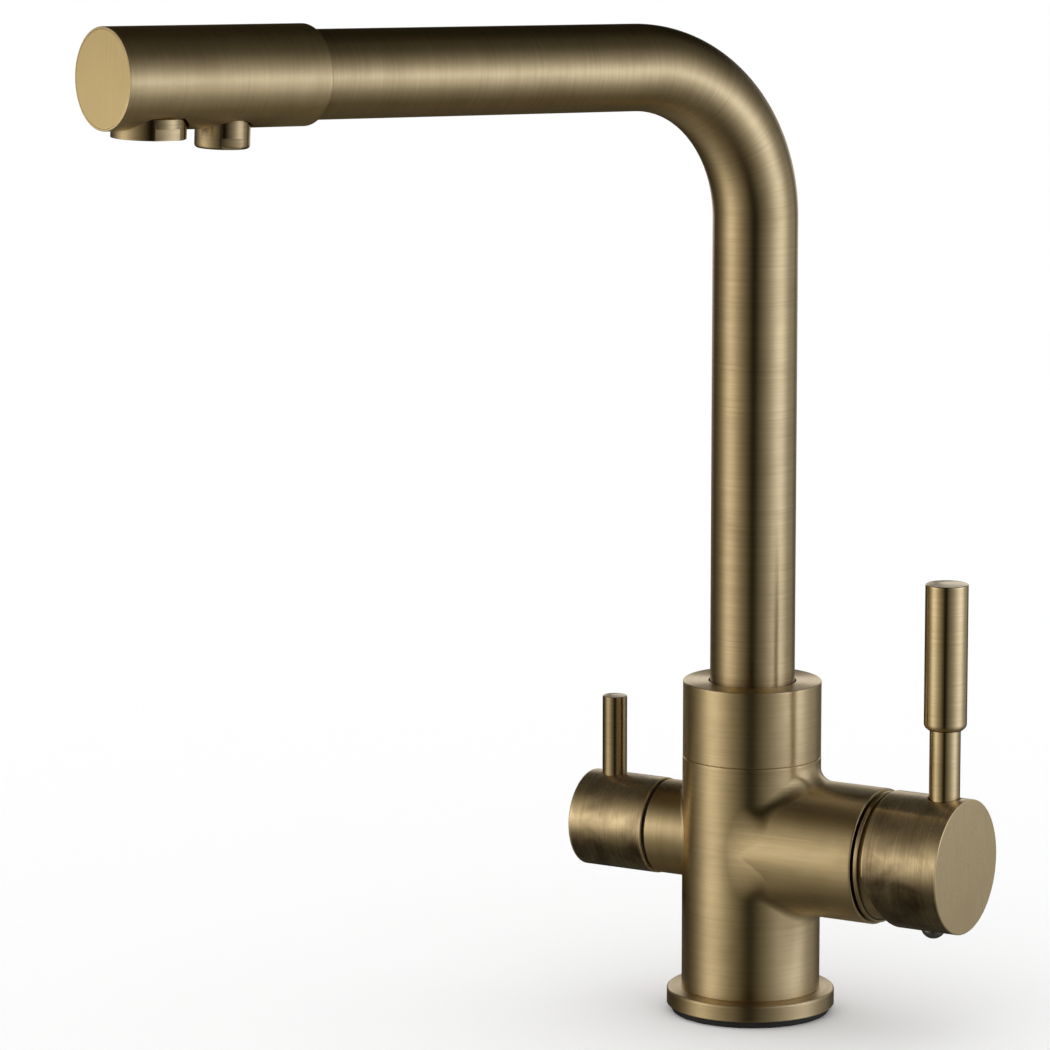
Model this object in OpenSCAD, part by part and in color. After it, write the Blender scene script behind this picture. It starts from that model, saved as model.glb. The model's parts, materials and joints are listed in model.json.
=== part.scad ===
// Three way kitchen tap. Mixed water and filtered water leave one swivelling spout.
// The origin is the middle of the gasket's underside and +Z is up. The user stands at -Y,
// the mixer lever is on the +X side and the filtered water lever on the -X side.

/* [Base] */
// Step out from the column to the base ring
base_step = 4.4; // [3:0.1:10]
// Thickness of the base ring
base_ring_t = 5.1; // [4:0.1:8]
// Rounding of the base ring's edges
base_ring_round = 0.7; // [0.3:0.1:1.2]
// Step in from the base ring to the rubber gasket
gasket_step = 1.5; // [0.5:0.1:2.5]
// Step out from the column's spigot to the hole in the gasket
gasket_hole_step = 1.6; // [0.5:0.1:3]
// Height of the gasket that shows under the base ring
gasket_proud = 2.1; // [1:0.1:3]
// Depth of the gasket's groove in the base ring
gasket_groove = 1; // [0.5:0.1:1.5]

/* [Body] */
// Height of the seam between the column and the collar
seam_z = 77.7; // [77.7:0.1:84]
// Bevel at the column's two ends
body_edge = 0.3; // [0.1:0.05:0.4]
// Step in from the column to the spigot that locates it in the base ring
spigot_step = 3.6; // [3:0.1:4]
// Length of the spigot
spigot_len = 4.6; // [3:0.1:5]
// Radius of the threaded hole for the fixing stud, at the thread's crests
stud_hole_r = 3.4; // [2.5:0.1:4]
// Depth of the stud hole
stud_hole_depth = 14; // [10:0.5:18]
// Radius of each threaded hose port, at the thread's crests
port_r = 4.5; // [3.5:0.1:4.7]
// Depth of the hose ports
port_depth = 12; // [8:0.5:14]
// Wall between the hose ports and the spigot's side
port_wall = 1.8; // [1.2:0.1:2.4]
// Angle from the mixer side to the hot port and to the cold port
port_angle = 55; // [50:1:70]
// Radius of the cast water passages
passage_r = 2.8; // [2:0.1:3]

/* [Mixer arm] */
// Height of the mixer arm's axis
mixer_z = 52; // [50:0.1:52]
// Step in from the column's radius to the mixer arm's
arm_step = 0.45; // [0.3:0.05:1]
// Reach of the mixer arm beyond the column
mixer_arm_len = 22.9; // [22.4:0.1:26]
// Radius of the fillet above the mixer arm
top_fillet_r = 5; // [3:0.1:5]
// Radius of the fillet below the mixer arm
under_fillet_r = 3; // [1:0.1:5]
// Bevel at the ends of both arms
arm_edge = 0.3; // [0.1:0.05:0.5]
// Wall of the mixer arm round the chamber that holds the mixing cartridge
arm_wall = 2.55; // [2.2:0.05:3]
// Depth of the mixing cartridge's chamber
chamber_depth = 27; // [26.8:0.1:27.4]
// Step out from the chamber to the thread for the cartridge nut
nut_step = 0.7; // [0.4:0.05:1]

/* [Filter arm] */
// Height of the filter arm's axis
filter_z = 52.8; // [50:0.1:53]
// Radius of the filter arm
filter_arm_r = 14.1; // [13.6:0.1:15]
// Reach of the filter arm beyond the column
filter_arm_len = 8.35; // [7.9:0.05:9.5]
// Radius of the fillet round the filter arm
filter_fillet_r = 1.5; // [0.5:0.1:3]
// Wall of the filter arm round the chamber that holds the filter valve
valve_wall = 3.1; // [2.8:0.1:3.6]
// Depth of the filter valve's chamber
valve_chamber_depth = 14.95; // [14.8:0.05:15.5]
// Step out from the valve's chamber to the recess for its flange
valve_recess_step = 1; // [0.8:0.1:1.2]
// Depth of the recess for the valve's flange
valve_recess_depth = 3; // [2.5:0.1:3.2]

/* [Collar and swivel] */
// Step in from the column to the collar
collar_step = 0.05; // [0:0.01:0.5]
// Height of the collar
collar_h = 22.8; // [21.5:0.1:28]
// Rounding of the collar's top edge
collar_round = 0.4; // [0.2:0.1:0.8]
// Gap round the tube at the collar's mouth
collar_mouth_gap = 0.45; // [0.2:0.05:0.8]
// Step out from the threaded neck to the column
neck_step = 3.2; // [2.8:0.1:4]
// Height of the column's threaded neck
neck_h = 12; // [10:0.1:13]
// Wall of the neck round the swivel socket
neck_wall = 2.8; // [2.4:0.1:3.2]
// Height of the swivel socket's floor
socket_z = 66; // [65.5:0.1:67]

/* [Spout] */
// Radius of the spout tube
spout_r = 12.55; // [12:0.05:14]
// Step out from the spout tube to the swivel socket in the column
tail_step = 2.05; // [2:0.05:2.4]
// Wall of the spout tube
spout_wall = 1.2; // [0.8:0.1:2]
// Height at which the spout's axis would meet the column's axis
spout_z = 283.2; // [220:0.1:340]
// Radius of the tube's bend, at its centre line
bend_r = 46.8; // [30:0.1:60]
// Rise of the spout towards its outlet, in degrees
spout_rise = 2.4; // [0:0.1:10]
// Swivel of the spout at rest from straight ahead towards the filter side, in degrees
spout_swivel = 23.2; // [0:0.1:60]
// Outer radius of the inner tube for filtered water
inner_tube_r = 4; // [3.5:0.1:4.2]
// Wall of the inner tube
inner_tube_wall = 0.9; // [0.6:0.1:1.2]

/* [Outlet head] */
// Step out from the spout tube to the outlet head
head_step = 1.65; // [1.45:0.05:3]
// Distance from the column's axis to the outlet head's front face, along the spout
head_end = 224.4; // [200:0.1:280]
// Wall of the outlet head
head_wall = 2.2; // [2:0.1:2.4]
// Rounding of the outlet head's rear edge
head_round = 1.6; // [0.5:0.1:2]
// Length of tube inside the outlet head
tube_overlap = 12; // [8:0.5:14]
// Rim of the outlet head left round its end cap
cap_rim = 0.6; // [0.4:0.05:1]
// Thickness of the end cap's disc
end_cap_t = 2.2; // [1.5:0.1:3]

/* [Aerator] */
// Distance from the outlet head's front face to the aerator's axis
aerator_back = 15.1; // [14.5:0.1:16]
// Step in from the outlet head's radius to the aerator housing's
aerator_step = 3.8; // [3.6:0.1:4.6]
// Height by which the aerator's lip stands out below the outlet head
aerator_proud = 2.1; // [1.5:0.1:5]
// Height of the aerator housing that is not threaded
aerator_h = 5.9; // [4.5:0.1:6.2]
// Height of the wrench flats
flat_h = 3.2; // [2:0.1:4]
// Depth of the aerator's wrench flats
aerator_flat = 0.75; // [0.3:0.05:1.2]

/* [Filtered water nozzle] */
// Distance between the axes of the aerator and the nozzle
nozzle_spacing = 24; // [22:0.1:30]
// Distance from the nozzle's axis to the outlet head's rear edge
nozzle_ahead = 27.3; // [22.5:0.1:50]
// Radius of the nozzle
nozzle_r = 7.7; // [7:0.1:8]
// Height by which the nozzle's lip stands out below the outlet head
nozzle_proud = 5.4; // [4:0.1:8]
// Height of the nozzle that is not threaded
nozzle_h = 8.7; // [7:0.1:8.9]
// Rounding of the nozzle's lip
nozzle_round = 1.1; // [0.4:0.1:1.5]
// Depth of the nozzle's wrench flats
nozzle_flat = 0.7; // [0.3:0.05:1]
// Turn of the nozzle's wrench flats from the spout's sides, in degrees
nozzle_turn = 12; // [0:1:45]

/* [Mixer lever] */
// Step in from the mixer arm to the lever's cap
cap_step = 0.15; // [0:0.05:0.6]
// Distance from the mixer arm's end to the cap's rear rim
cap_gap = 3.6; // [3.5:0.1:4.5]
// Length of the cap
cap_len = 24.3; // [23:0.1:30]
// Slope of the cut under the cap that lets it tilt, in degrees
relief_angle = 16.7; // [15:0.1:20]
// Height below the cap's axis where that cut starts
relief_start = 1; // [0:0.1:3]
// Distance from the cap's front face to the lever's axis
lever_back = 7.3; // [7.2:0.1:9]
// Radius of the lever's stem
stem_r = 4.55; // [3.5:0.05:5]
// Height of the grip's lower end above the cap's axis
grip_start = 40.4; // [30:0.1:50]
// Length of the grip
grip_len = 43.1; // [30:0.1:70]
// Radius of the grip
grip_r = 6.3; // [5.8:0.1:8]
// Rounding of the grip's lower edge
grip_round = 1.8; // [0.5:0.1:2]
// Distance from the cap's front face to the fixing screw's axis
screw_back = 10.4; // [9.8:0.1:10.8]
// Radius of the fixing screw's domed head
screw_head_r = 3.55; // [2.8:0.05:3.8]
// Height of the domed head below the cap
screw_head_h = 2.6; // [1.5:0.1:3]

/* [Mixing cartridge] */
// Depth of the lever's pivot behind the mixer arm's end
pivot_depth = 6.5; // [6:0.1:7]
// Thickness of the cartridge's base
cartridge_base_t = 4.1; // [3.5:0.1:4.5]
// Thickness of each ceramic mixing disc
disc_t = 2.9; // [2.5:0.1:3]
// Wall from the chamber's side to the ceramic discs
disc_wall = 4.8; // [4.6:0.1:5.1]
// Step in from the discs to the turning part of the cartridge
turret_step = 0.8; // [0.6:0.1:1.3]
// Width of the spindle's square
spindle_w = 7; // [6:0.1:7.4]
// Tilt of the lever from closed to full flow, in degrees
lift_angle = 18; // [14:1:18]
// Radius of the spindle's pivot pin
pivot_pin_r = 1.5; // [1:0.1:1.8]
// Gap between the dome in front of the cartridge and the cap's cavity
dome_gap = 0.49; // [0.3:0.01:0.8]
// Step in from the dome to the ring behind it
dome_step = 0.4; // [0:0.05:0.8]

/* [Filter lever] */
// Radius of the filter lever's hub
hub_r = 14.4; // [13.6:0.1:15.5]
// Gap between the filter arm and the lever's hub
hub_gap = 1.05; // [0.95:0.05:1.5]
// Length of the hub
hub_len = 25; // [24:0.1:32]
// Bevel of the hub's outer edge
hub_edge = 0.7; // [0.3:0.1:1]
// Distance from the hub's outer end to the rod's axis
rod_back = 8; // [7.8:0.1:9]
// Radius of the filter lever's rod
rod_r = 3.7; // [3:0.1:4.2]
// Height of the rod's top above the hub's axis
rod_top = 38; // [30:0.1:55]

/* [Filter valve] */
// Radius of the valve's spindle
valve_spindle_r = 3.5; // [3:0.1:3.8]
// Radius of the valve's ceramic discs
valve_disc_r = 5.4; // [5:0.1:5.6]
// Thickness of the valve's ceramic discs
valve_disc_t = 1.95; // [1.6:0.05:2]
// Radius of the valve's neck inside the hub
valve_neck_r = 7.2; // [6.8:0.1:7.6]

/* [Clearances] */
// Gap between pieces that are pressed, screwed or soldered together
fit_gap = 0.05; // [0.03:0.01:0.08]
// Radial gap of a shaft that turns in its bore
run_gap = 0.08; // [0.05:0.01:0.1]
// Gap between faces that pass each other
face_gap = 0.1; // [0.05:0.01:0.15]
// Length by which cuts overrun the solid
overrun = 1; // [0.5:0.1:1.5]

/* [Hidden] */
$fn = 96;
socket_r = spout_r + tail_step;
neck_r = socket_r + neck_wall;
body_r = neck_r + neck_step;
collar_r = body_r - collar_step;
base_ring_r = body_r + base_step;
gasket_r = base_ring_r - gasket_step;
spigot_r = body_r - spigot_step;
gasket_hole_r = spigot_r + gasket_hole_step;
port_offset = spigot_r - port_r - port_wall;
body_z = gasket_proud + base_ring_t;
spigot_z = body_z - spigot_len;
socket_top = seam_z + neck_h;
collar_top = seam_z + collar_h;
hot_side = -1;
cold_side = 1;

// Rows of facets round the mixer arm and the filter arm, both multiples of four
mixer_rows = 72;
filter_rows = 40;
// Facets across a fillet, and facets of the column between the two arms
fillet_steps = 8;
strip_steps = 9;

// Mixer arm and filter arm
mixer_arm_r = body_r - arm_step;
mixer_arm_x = body_r + mixer_arm_len;
chamber_r = mixer_arm_r - arm_wall;
chamber_x = mixer_arm_x - chamber_depth;
nut_r = chamber_r + nut_step;
filter_arm_x = body_r + filter_arm_len;
valve_chamber_r = filter_arm_r - valve_wall;
valve_chamber_x = filter_arm_x - valve_chamber_depth;
valve_recess_r = valve_chamber_r + valve_recess_step;

// Heights of the water ways at the chambers' floors
inlet_z = mixer_z + 3 / 17.6 * chamber_r;
mixed_z = mixer_z - 9 / 17.6 * chamber_r;
filtered_z = filter_z + 8.6 / 11 * valve_chamber_r;
// Place of the passage that takes mixed water up to the swivel socket
mixed_x = 8.5 / 14.6 * socket_r;

// Swivel
tail_floor_z = socket_z + 0.8 / 14.6 * socket_r;
tube_foot_z = socket_z + 10 / 14.6 * socket_r;
tail_bore_r = 10 / 14.6 * socket_r;
tail_top_z = socket_top + overrun / 5;
o_ring_section_r = 1.15;
inner_ring_section_r = 0.95;
slip_ring_t = 1.4;
collar_lip = 3.2;
bush_r = neck_r - 1.2 / 17.4 * neck_r;

// Spout
head_r = spout_r + head_step;
bend_angle = 90 - spout_rise;
weld_len = 0.8;
weld_step = 0.02;
bend_tangent = bend_r * tan(bend_angle / 2);
aerator_at = head_end - aerator_back;
nozzle_at = aerator_at - nozzle_spacing;
head_start = nozzle_at - nozzle_ahead;
head_len = head_end - head_start;
tube_end = head_start + tube_overlap;
hollow_r = head_r - head_wall;

// Aerator and nozzle
aerator_r = head_r - aerator_step;
aerator_drop = head_r + aerator_proud;
aerator_top = aerator_drop - aerator_h;
aerator_thread_r = 0.82 * aerator_r;
aerator_bore_r = 0.71 * aerator_r;
aerator_seat = aerator_top - 5 / 10.4 * aerator_r;
nozzle_drop = head_r + nozzle_proud;
nozzle_top = nozzle_drop - nozzle_h;
nozzle_thread_r = 0.64 * nozzle_r;
nozzle_bore_r = 0.45 * nozzle_r;
nozzle_seat = nozzle_top - 0.4 * nozzle_r;
seal_t = 0.9;
lip_t = 0.9;
spot_gap = 0.7;
boss_rim = 0.6;
aerator_boss_r = aerator_r + spot_gap + boss_rim;
nozzle_boss_r = nozzle_r + spot_gap + boss_rim;
end_plug_len = aerator_back - aerator_boss_r - face_gap;

// Mixer lever
pivot_x = mixer_arm_x - pivot_depth;
cap_r = mixer_arm_r - cap_step;
cap_rear_x = mixer_arm_x + cap_gap;
cap_front_x = cap_rear_x + cap_len;
lever_x = cap_front_x - lever_back;
screw_x = cap_front_x - screw_back;
cap_cavity_r = sqrt(pow(cap_rear_x - pivot_x, 2) + pow(0.88 * cap_r, 2));
cap_edge = 0.25;
screw_shank_r = 0.7 * screw_head_r;
grip_socket = 0.2 * grip_len;
spindle_end = cap_front_x - 0.7 * lever_back;

// Dome and cartridge, from the chamber's floor outwards
dome_r = cap_cavity_r - dome_gap;
dome_ring_r = dome_r - dome_step;
fixed_disc_r = chamber_r - disc_wall;
turret_r = fixed_disc_r - turret_step;
cartridge_r = chamber_r - fit_gap - fit_gap;
seal_proud = 0.35;
base_x = chamber_x + seal_proud;
fixed_disc_x = base_x + cartridge_base_t + fit_gap;
moving_disc_x = fixed_disc_x + disc_t + fit_gap;
carrier_x = moving_disc_x + disc_t + fit_gap;
carrier_t = 0.12 * pivot_x;
turret_x = carrier_x + carrier_t + face_gap + face_gap;
turret_flange_t = 1.6;
slot_gap = 0.6;
nut_len = 3;
turret_proud = 1;
housing_end = mixer_arm_x - nut_len;
turret_end = mixer_arm_x + turret_proud;
ball_r = 0.55 * spindle_w / 2;
ball_x = carrier_x + carrier_t - ball_r;
disc_stroke = (pivot_x - ball_x) * sin(lift_angle);
moving_disc_r = fixed_disc_r - disc_stroke / 2;
disc_port_r = 0.6 * passage_r;
port_seal_r = 1.5 * passage_r;
skirt_len = 0.7;
dome_ring_t = 1.4;
ring_rear_x = mixer_arm_x + skirt_len;
ring_front_x = ring_rear_x + dome_ring_t;
dome_mouth_r = turret_r;
dome_wall = 1.4;

// Filter lever and valve, as distances from the column's axis
hub_x = filter_arm_x + hub_gap;
hub_end = hub_x + hub_len;
rod_x = hub_end - rod_back;
neck_end = hub_x + 0.3 * hub_len;
cavity_end = hub_x + 0.38 * hub_len;
valve_end = rod_x - fit_gap;
seat_t = 1.5;
valve_disc_x = valve_chamber_x + seat_t + fit_gap + fit_gap;
turning_disc_x = valve_disc_x + valve_disc_t + fit_gap;
valve_flange_x = turning_disc_x + valve_disc_t + fit_gap;
valve_flange_t = 1.5;
valve_body_r = 0.7 * valve_chamber_r;
valve_thread_x = valve_flange_x + valve_flange_t + face_gap;
grub_x = (cavity_end + valve_end) / 2;
grub_r = 2;

brass = [0.62, 0.51, 0.33];
raw_brass = [0.78, 0.66, 0.38];
rubber = [0.08, 0.08, 0.08];
plastic = [0.85, 0.85, 0.82];
ceramic = [0.95, 0.94, 0.9];
steel = [0.75, 0.76, 0.78];

// Places its children on the mixer arm's axis, x from the column, their +Z pointing outwards
module on_mixer(x) {
    translate([x, 0, mixer_z]) rotate([0, 90, 0]) children();
}

// Places its children on the filter arm's axis, x from the column, their +Z pointing outwards
module on_filter(x) {
    translate([-x, 0, filter_z]) rotate([0, -90, 0]) children();
}

// Turns its children with the spout, whose own frame runs straight ahead
module with_spout() {
    rotate([0, 0, -spout_swivel]) children();
}

// Places its children on the spout's axis, their +Z along it and their -Y downwards
module on_spout(distance) {
    with_spout() translate([0, 0, spout_z]) rotate([90 - spout_rise, 0, 0])
        translate([0, 0, distance]) children();
}

// Places its children below the spout's axis, their +Z pointing down
module under_spout(distance, drop) {
    on_spout(distance) rotate([90, 0, 0]) translate([0, 0, drop]) children();
}

// A ring along +Z
module ring(outer_r, inner_r, height) {
    difference() {
        cylinder(r = outer_r, h = height);
        translate([0, 0, -overrun]) cylinder(r = inner_r, h = height + overrun + overrun);
    }
}

// A rubber ring of round section
module o_ring(middle_r, section_r) {
    rotate_extrude() translate([middle_r, 0]) circle(r = section_r, $fn = 32);
}

// Points of an arc round a centre, from one angle to another
function arc(x, y, r, from, to, steps = 6) =
    [for (i = [0 : steps]) let (a = from + (to - from) * i / steps) [x + r * cos(a), y + r * sin(a)]];

// A disc along +Z with rounded or bevelled rims: steps of 1 give a bevel
module rimmed(r, height, low_round, high_round, steps = 6) {
    rotate_extrude() polygon(concat(
        [[0, 0]],
        arc(r - low_round, low_round, low_round, -90, 0, steps),
        arc(r - high_round, height - high_round, high_round, 0, 90, steps),
        [[0, height]]));
}

// The casting's outer skin
// A ball that rolls between the column and an arm leaves the fillet. Its centre at angle a round
// the arm, 0 at the front and 90 on top, lies body_r + f from one axis and arm_r + f from the other.
function ball_centre(side, arm_r, arm_z, f, a) = [
    side * sqrt(pow(body_r + f, 2) - pow((arm_r + f) * cos(a), 2)),
    -(arm_r + f) * cos(a),
    arm_z + (arm_r + f) * sin(a)];

// One row of skin points: across the fillet from the column to the arm, then out to the arm's end
function skin_row(side, arm_r, arm_z, arm_x, f, a) =
    let (c = ball_centre(side, arm_r, arm_z, f, a),
         to_column = -[c.x, c.y, 0] / (body_r + f),
         to_arm = [0, cos(a), -sin(a)],
         w = acos(to_column * to_arm))
    concat(
        [for (k = [0 : fillet_steps]) let (t = k / fillet_steps)
            c + f * (sin(w * (1 - t)) * to_column + sin(w * t) * to_arm) / sin(w)],
        [[side * (arm_x - arm_edge), -arm_r * cos(a), arm_z + arm_r * sin(a)],
         [side * arm_x, -(arm_r - arm_edge) * cos(a), arm_z + (arm_r - arm_edge) * sin(a)]]);

function mixer_fillet(a) =
    (top_fillet_r + under_fillet_r) / 2 + (top_fillet_r - under_fillet_r) / 2 * sin(a);
function mixer_row(i) = let (a = 360 * i / mixer_rows)
    skin_row(1, mixer_arm_r, mixer_z, mixer_arm_x, mixer_fillet(a), a);
function filter_row(i) = let (a = 360 * i / filter_rows)
    skin_row(-1, filter_arm_r, filter_z, filter_arm_x, filter_fillet_r, a);

// Direction from the column's axis to a row's first point
function heading(row) = atan2(row[0].y, row[0].x);

// Directions of the column's facets, counterclockwise from the mixer arm's front,
// for the stretch below the arms (up = -1) or above them (up = 1)
function ring_headings(up) = concat(
    [for (j = [0 : mixer_rows / 2]) heading(mixer_row(up * j))],
    [for (j = [1 : strip_steps - 1]) heading(mixer_row(mixer_rows / 2))
        + (heading(filter_row(filter_rows / 2)) - heading(mixer_row(mixer_rows / 2))) * j / strip_steps],
    [for (j = [0 : filter_rows / 2]) heading(filter_row(filter_rows / 2 - up * j))],
    [for (j = [1 : strip_steps - 1]) heading(filter_row(0))
        + (heading(mixer_row(0)) - heading(filter_row(0))) * j / strip_steps]);

function column_ring(headings, r, z) = [for (a = headings) [r * cos(a), r * sin(a), z]];

row_points = fillet_steps + 3;
ring_start = (mixer_rows + filter_rows) * row_points;
ring_points = mixer_rows / 2 + filter_rows / 2 + 2 * strip_steps;
filter_from = mixer_rows / 2 + strip_steps;

function at_mixer(i, k) = ((i + mixer_rows) % mixer_rows) * row_points + k;
function at_filter(i, k) = (mixer_rows + (i + filter_rows) % filter_rows) * row_points + k;
function at_ring(level, j) = ring_start + level * ring_points + j % ring_points;
function split(a, b, c, d) = [[a, b, c], [a, c, d]];

// Facets of the column from one arm's middle to the other's, the nth of the ring's facets first.
// The arms' foremost or rearmost contact points, left and right, lie on the outermost edges.
function strip(n, left, right) = [for (j = [0 : strip_steps - 1])
    let (a = at_ring(1, n + j), b = at_ring(2, n + j), c = at_ring(2, n + j + 1), d = at_ring(1, n + j + 1))
    each j == 0 ? [[a, left, d], [left, b, c], [left, c, d]]
        : j == strip_steps - 1 ? [[a, b, right], [b, c, right], [a, right, d]]
        : split(a, b, c, d)];

module body_skin() {
    low = ring_headings(-1);
    high = ring_headings(1);
    points = concat(
        [for (i = [0 : mixer_rows - 1]) each mixer_row(i)],
        [for (i = [0 : filter_rows - 1]) each filter_row(i)],
        column_ring(low, body_r - body_edge, body_z),
        column_ring(low, body_r, body_z + body_edge),
        column_ring(high, body_r, seam_z - body_edge),
        column_ring(high, body_r - body_edge, seam_z));
    faces = concat(
        // Fillets and arms
        [for (i = [0 : mixer_rows - 1], k = [0 : row_points - 2])
            each split(at_mixer(i, k), at_mixer(i + 1, k), at_mixer(i + 1, k + 1), at_mixer(i, k + 1))],
        [for (i = [0 : filter_rows - 1], k = [0 : row_points - 2])
            each split(at_filter(i, k), at_filter(i, k + 1), at_filter(i + 1, k + 1), at_filter(i + 1, k))],
        // Column below and above the arms
        [for (j = [0 : mixer_rows / 2 - 1])
            each split(at_ring(1, j), at_mixer(-j, 0), at_mixer(-j - 1, 0), at_ring(1, j + 1))],
        [for (j = [0 : mixer_rows / 2 - 1])
            each split(at_mixer(j, 0), at_ring(2, j), at_ring(2, j + 1), at_mixer(j + 1, 0))],
        [for (j = [0 : filter_rows / 2 - 1]) let (i = filter_rows / 2 + j, n = filter_from + j)
            each split(at_ring(1, n), at_filter(i, 0), at_filter(i + 1, 0), at_ring(1, n + 1))],
        [for (j = [0 : filter_rows / 2 - 1]) let (i = filter_rows / 2 - j, n = filter_from + j)
            each split(at_filter(i, 0), at_ring(2, n), at_ring(2, n + 1), at_filter(i - 1, 0))],
        // Column between the arms, behind and in front
        strip(mixer_rows / 2, at_mixer(mixer_rows / 2, 0), at_filter(filter_rows / 2, 0)),
        strip(filter_from + filter_rows / 2, at_filter(0, 0), at_mixer(0, 0)),
        // Bevels and flat ends
        [for (level = [0, 2], j = [0 : ring_points - 1]) each split(
            at_ring(level, j), at_ring(level + 1, j), at_ring(level + 1, j + 1), at_ring(level, j + 1))],
        [[for (j = [0 : ring_points - 1]) at_ring(0, j)]],
        [[for (j = [0 : ring_points - 1]) at_ring(3, ring_points - 1 - j)]],
        [[for (i = [0 : mixer_rows - 1]) at_mixer(i, row_points - 1)]],
        [[for (i = [0 : filter_rows - 1]) at_filter(-i, row_points - 1)]]);
    polyhedron(points, faces);
}

// Places its children at the hot port (-1) or the cold port (1), on the height z
module at_port(side, z) {
    translate([port_offset * cos(port_angle), side * port_offset * sin(port_angle), z]) children();
}

// Hollows of the casting: ports in the foot, passages, both valve chambers and the swivel socket
module body_hollows() {
    translate([0, 0, spigot_z - overrun]) cylinder(r = stud_hole_r, h = stud_hole_depth + overrun);
    for (side = [hot_side, cold_side]) {
        at_port(side, spigot_z - overrun) cylinder(r = port_r, h = port_depth + overrun);
        at_port(side, spigot_z) cylinder(r = passage_r, h = inlet_z - spigot_z);
        at_port(side, inlet_z) rotate([0, 90, 0])
            cylinder(r = passage_r, h = chamber_x - port_offset * cos(port_angle) + overrun);
    }
    translate([-port_offset, 0, spigot_z - overrun]) cylinder(r = port_r, h = port_depth + overrun);
    translate([-port_offset, 0, spigot_z]) cylinder(r = passage_r, h = filter_z - spigot_z);
    translate([-port_offset, 0, filter_z]) rotate([0, -90, 0])
        cylinder(r = passage_r, h = valve_chamber_x - port_offset + overrun);
    // Mixed water goes up beside the inner tube
    translate([mixed_x, 0, mixed_z]) rotate([0, 90, 0])
        cylinder(r = passage_r, h = chamber_x - mixed_x + overrun);
    translate([mixed_x, 0, mixed_z]) cylinder(r = passage_r, h = socket_z - mixed_z + overrun);
    // Filtered water goes up inside the inner tube
    translate([0, 0, filtered_z]) rotate([0, -90, 0])
        cylinder(r = 0.8 * passage_r, h = valve_chamber_x + overrun);
    translate([0, 0, filtered_z - passage_r])
        cylinder(r = inner_tube_r + run_gap, h = socket_z - filtered_z + passage_r + overrun);
    translate([0, 0, socket_z - 2 * inner_ring_section_r - 2 * fit_gap])
        cylinder(r = inner_tube_r + 2 * inner_ring_section_r + 2 * fit_gap, h = 3 * inner_ring_section_r);
    translate([0, 0, socket_z]) cylinder(r = socket_r, h = socket_top - socket_z + overrun);
    on_mixer(chamber_x) cylinder(r = chamber_r, h = mixer_arm_x - chamber_x + overrun);
    on_mixer(housing_end) cylinder(r = nut_r, h = mixer_arm_x - housing_end + overrun);
    on_filter(valve_chamber_x) cylinder(r = valve_chamber_r, h = filter_arm_x - valve_chamber_x + overrun);
    on_filter(filter_arm_x - valve_recess_depth)
        cylinder(r = valve_recess_r, h = valve_recess_depth + overrun);
}

// Column with the mixer arm and the filter arm, cast in one
module body_casting() {
    color(brass) difference() {
        union() {
            body_skin();
            translate([0, 0, spigot_z]) cylinder(r = spigot_r, h = spigot_len + overrun);
            translate([0, 0, seam_z - overrun]) cylinder(r = neck_r, h = neck_h + overrun);
        }
        body_hollows();
    }
}

module base_ring() {
    color(brass) difference() {
        translate([0, 0, gasket_proud])
            rimmed(base_ring_r, base_ring_t, base_ring_round / 2, base_ring_round);
        cylinder(r = spigot_r + fit_gap, h = body_z + overrun);
        translate([0, 0, gasket_proud - overrun])
            ring(gasket_r + fit_gap, gasket_hole_r - fit_gap, gasket_groove + overrun);
    }
}

module base_gasket() {
    color(rubber) ring(gasket_r, gasket_hole_r, gasket_proud + gasket_groove - fit_gap);
}

// Screwed on the neck: its lip at the top keeps the bush, and with it the spout, in place
module collar() {
    color(brass) translate([0, 0, seam_z + fit_gap]) difference() {
        rimmed(collar_r, collar_h - fit_gap, body_edge, collar_round);
        translate([0, 0, -overrun]) cylinder(r = neck_r + fit_gap, h = neck_h + overrun + face_gap);
        translate([0, 0, neck_h]) cylinder(r = bush_r + fit_gap, h = collar_h - collar_lip - neck_h);
        cylinder(r = spout_r + collar_mouth_gap, h = collar_h + overrun);
    }
}

module slip_ring() {
    color(plastic) translate([0, 0, tail_top_z + face_gap])
        ring(socket_r - fit_gap, spout_r + run_gap, slip_ring_t);
}

module collar_bush() {
    z = tail_top_z + slip_ring_t + face_gap + face_gap;
    color(plastic) translate([0, 0, z])
        ring(bush_r, spout_r + run_gap, collar_top - collar_lip - z - face_gap);
}

// A pipe along the spout's centre line, from a foot height to a distance along the spout
module spout_pipe(r, wall, foot_z, end) {
    bend_z = spout_z - bend_tangent;
    with_spout() {
        translate([0, 0, foot_z]) ring(r, r - wall, bend_z - foot_z);
        translate([0, -bend_r, bend_z]) rotate([0, 90, 0]) rotate([0, 0, 90])
            rotate_extrude(angle = bend_angle) translate([bend_r, 0]) difference() {
                circle(r = r);
                circle(r = r - wall);
            }
    }
    // The straight stretch starts inside the bend's end, a hair thinner
    on_spout(bend_tangent - weld_len)
        ring(r - weld_step, r - wall + weld_step, end - bend_tangent + weld_len);
}

module spout_tube() {
    color(brass) spout_pipe(spout_r, spout_wall, tube_foot_z, tube_end - fit_gap);
}

module inner_tube() {
    color(steel) spout_pipe(inner_tube_r, inner_tube_wall, filtered_z + passage_r, nozzle_at - nozzle_r / 2);
}

module inner_tube_seal() {
    color(rubber) translate([0, 0, socket_z - inner_ring_section_r - fit_gap])
        o_ring(inner_tube_r + inner_ring_section_r + fit_gap, inner_ring_section_r);
}

// Heights of the two rubber rings on the spout's tail
tail_groove_z = [for (share = [0.26, 0.72]) tail_floor_z + share * (tube_foot_z - tail_floor_z)];

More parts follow.
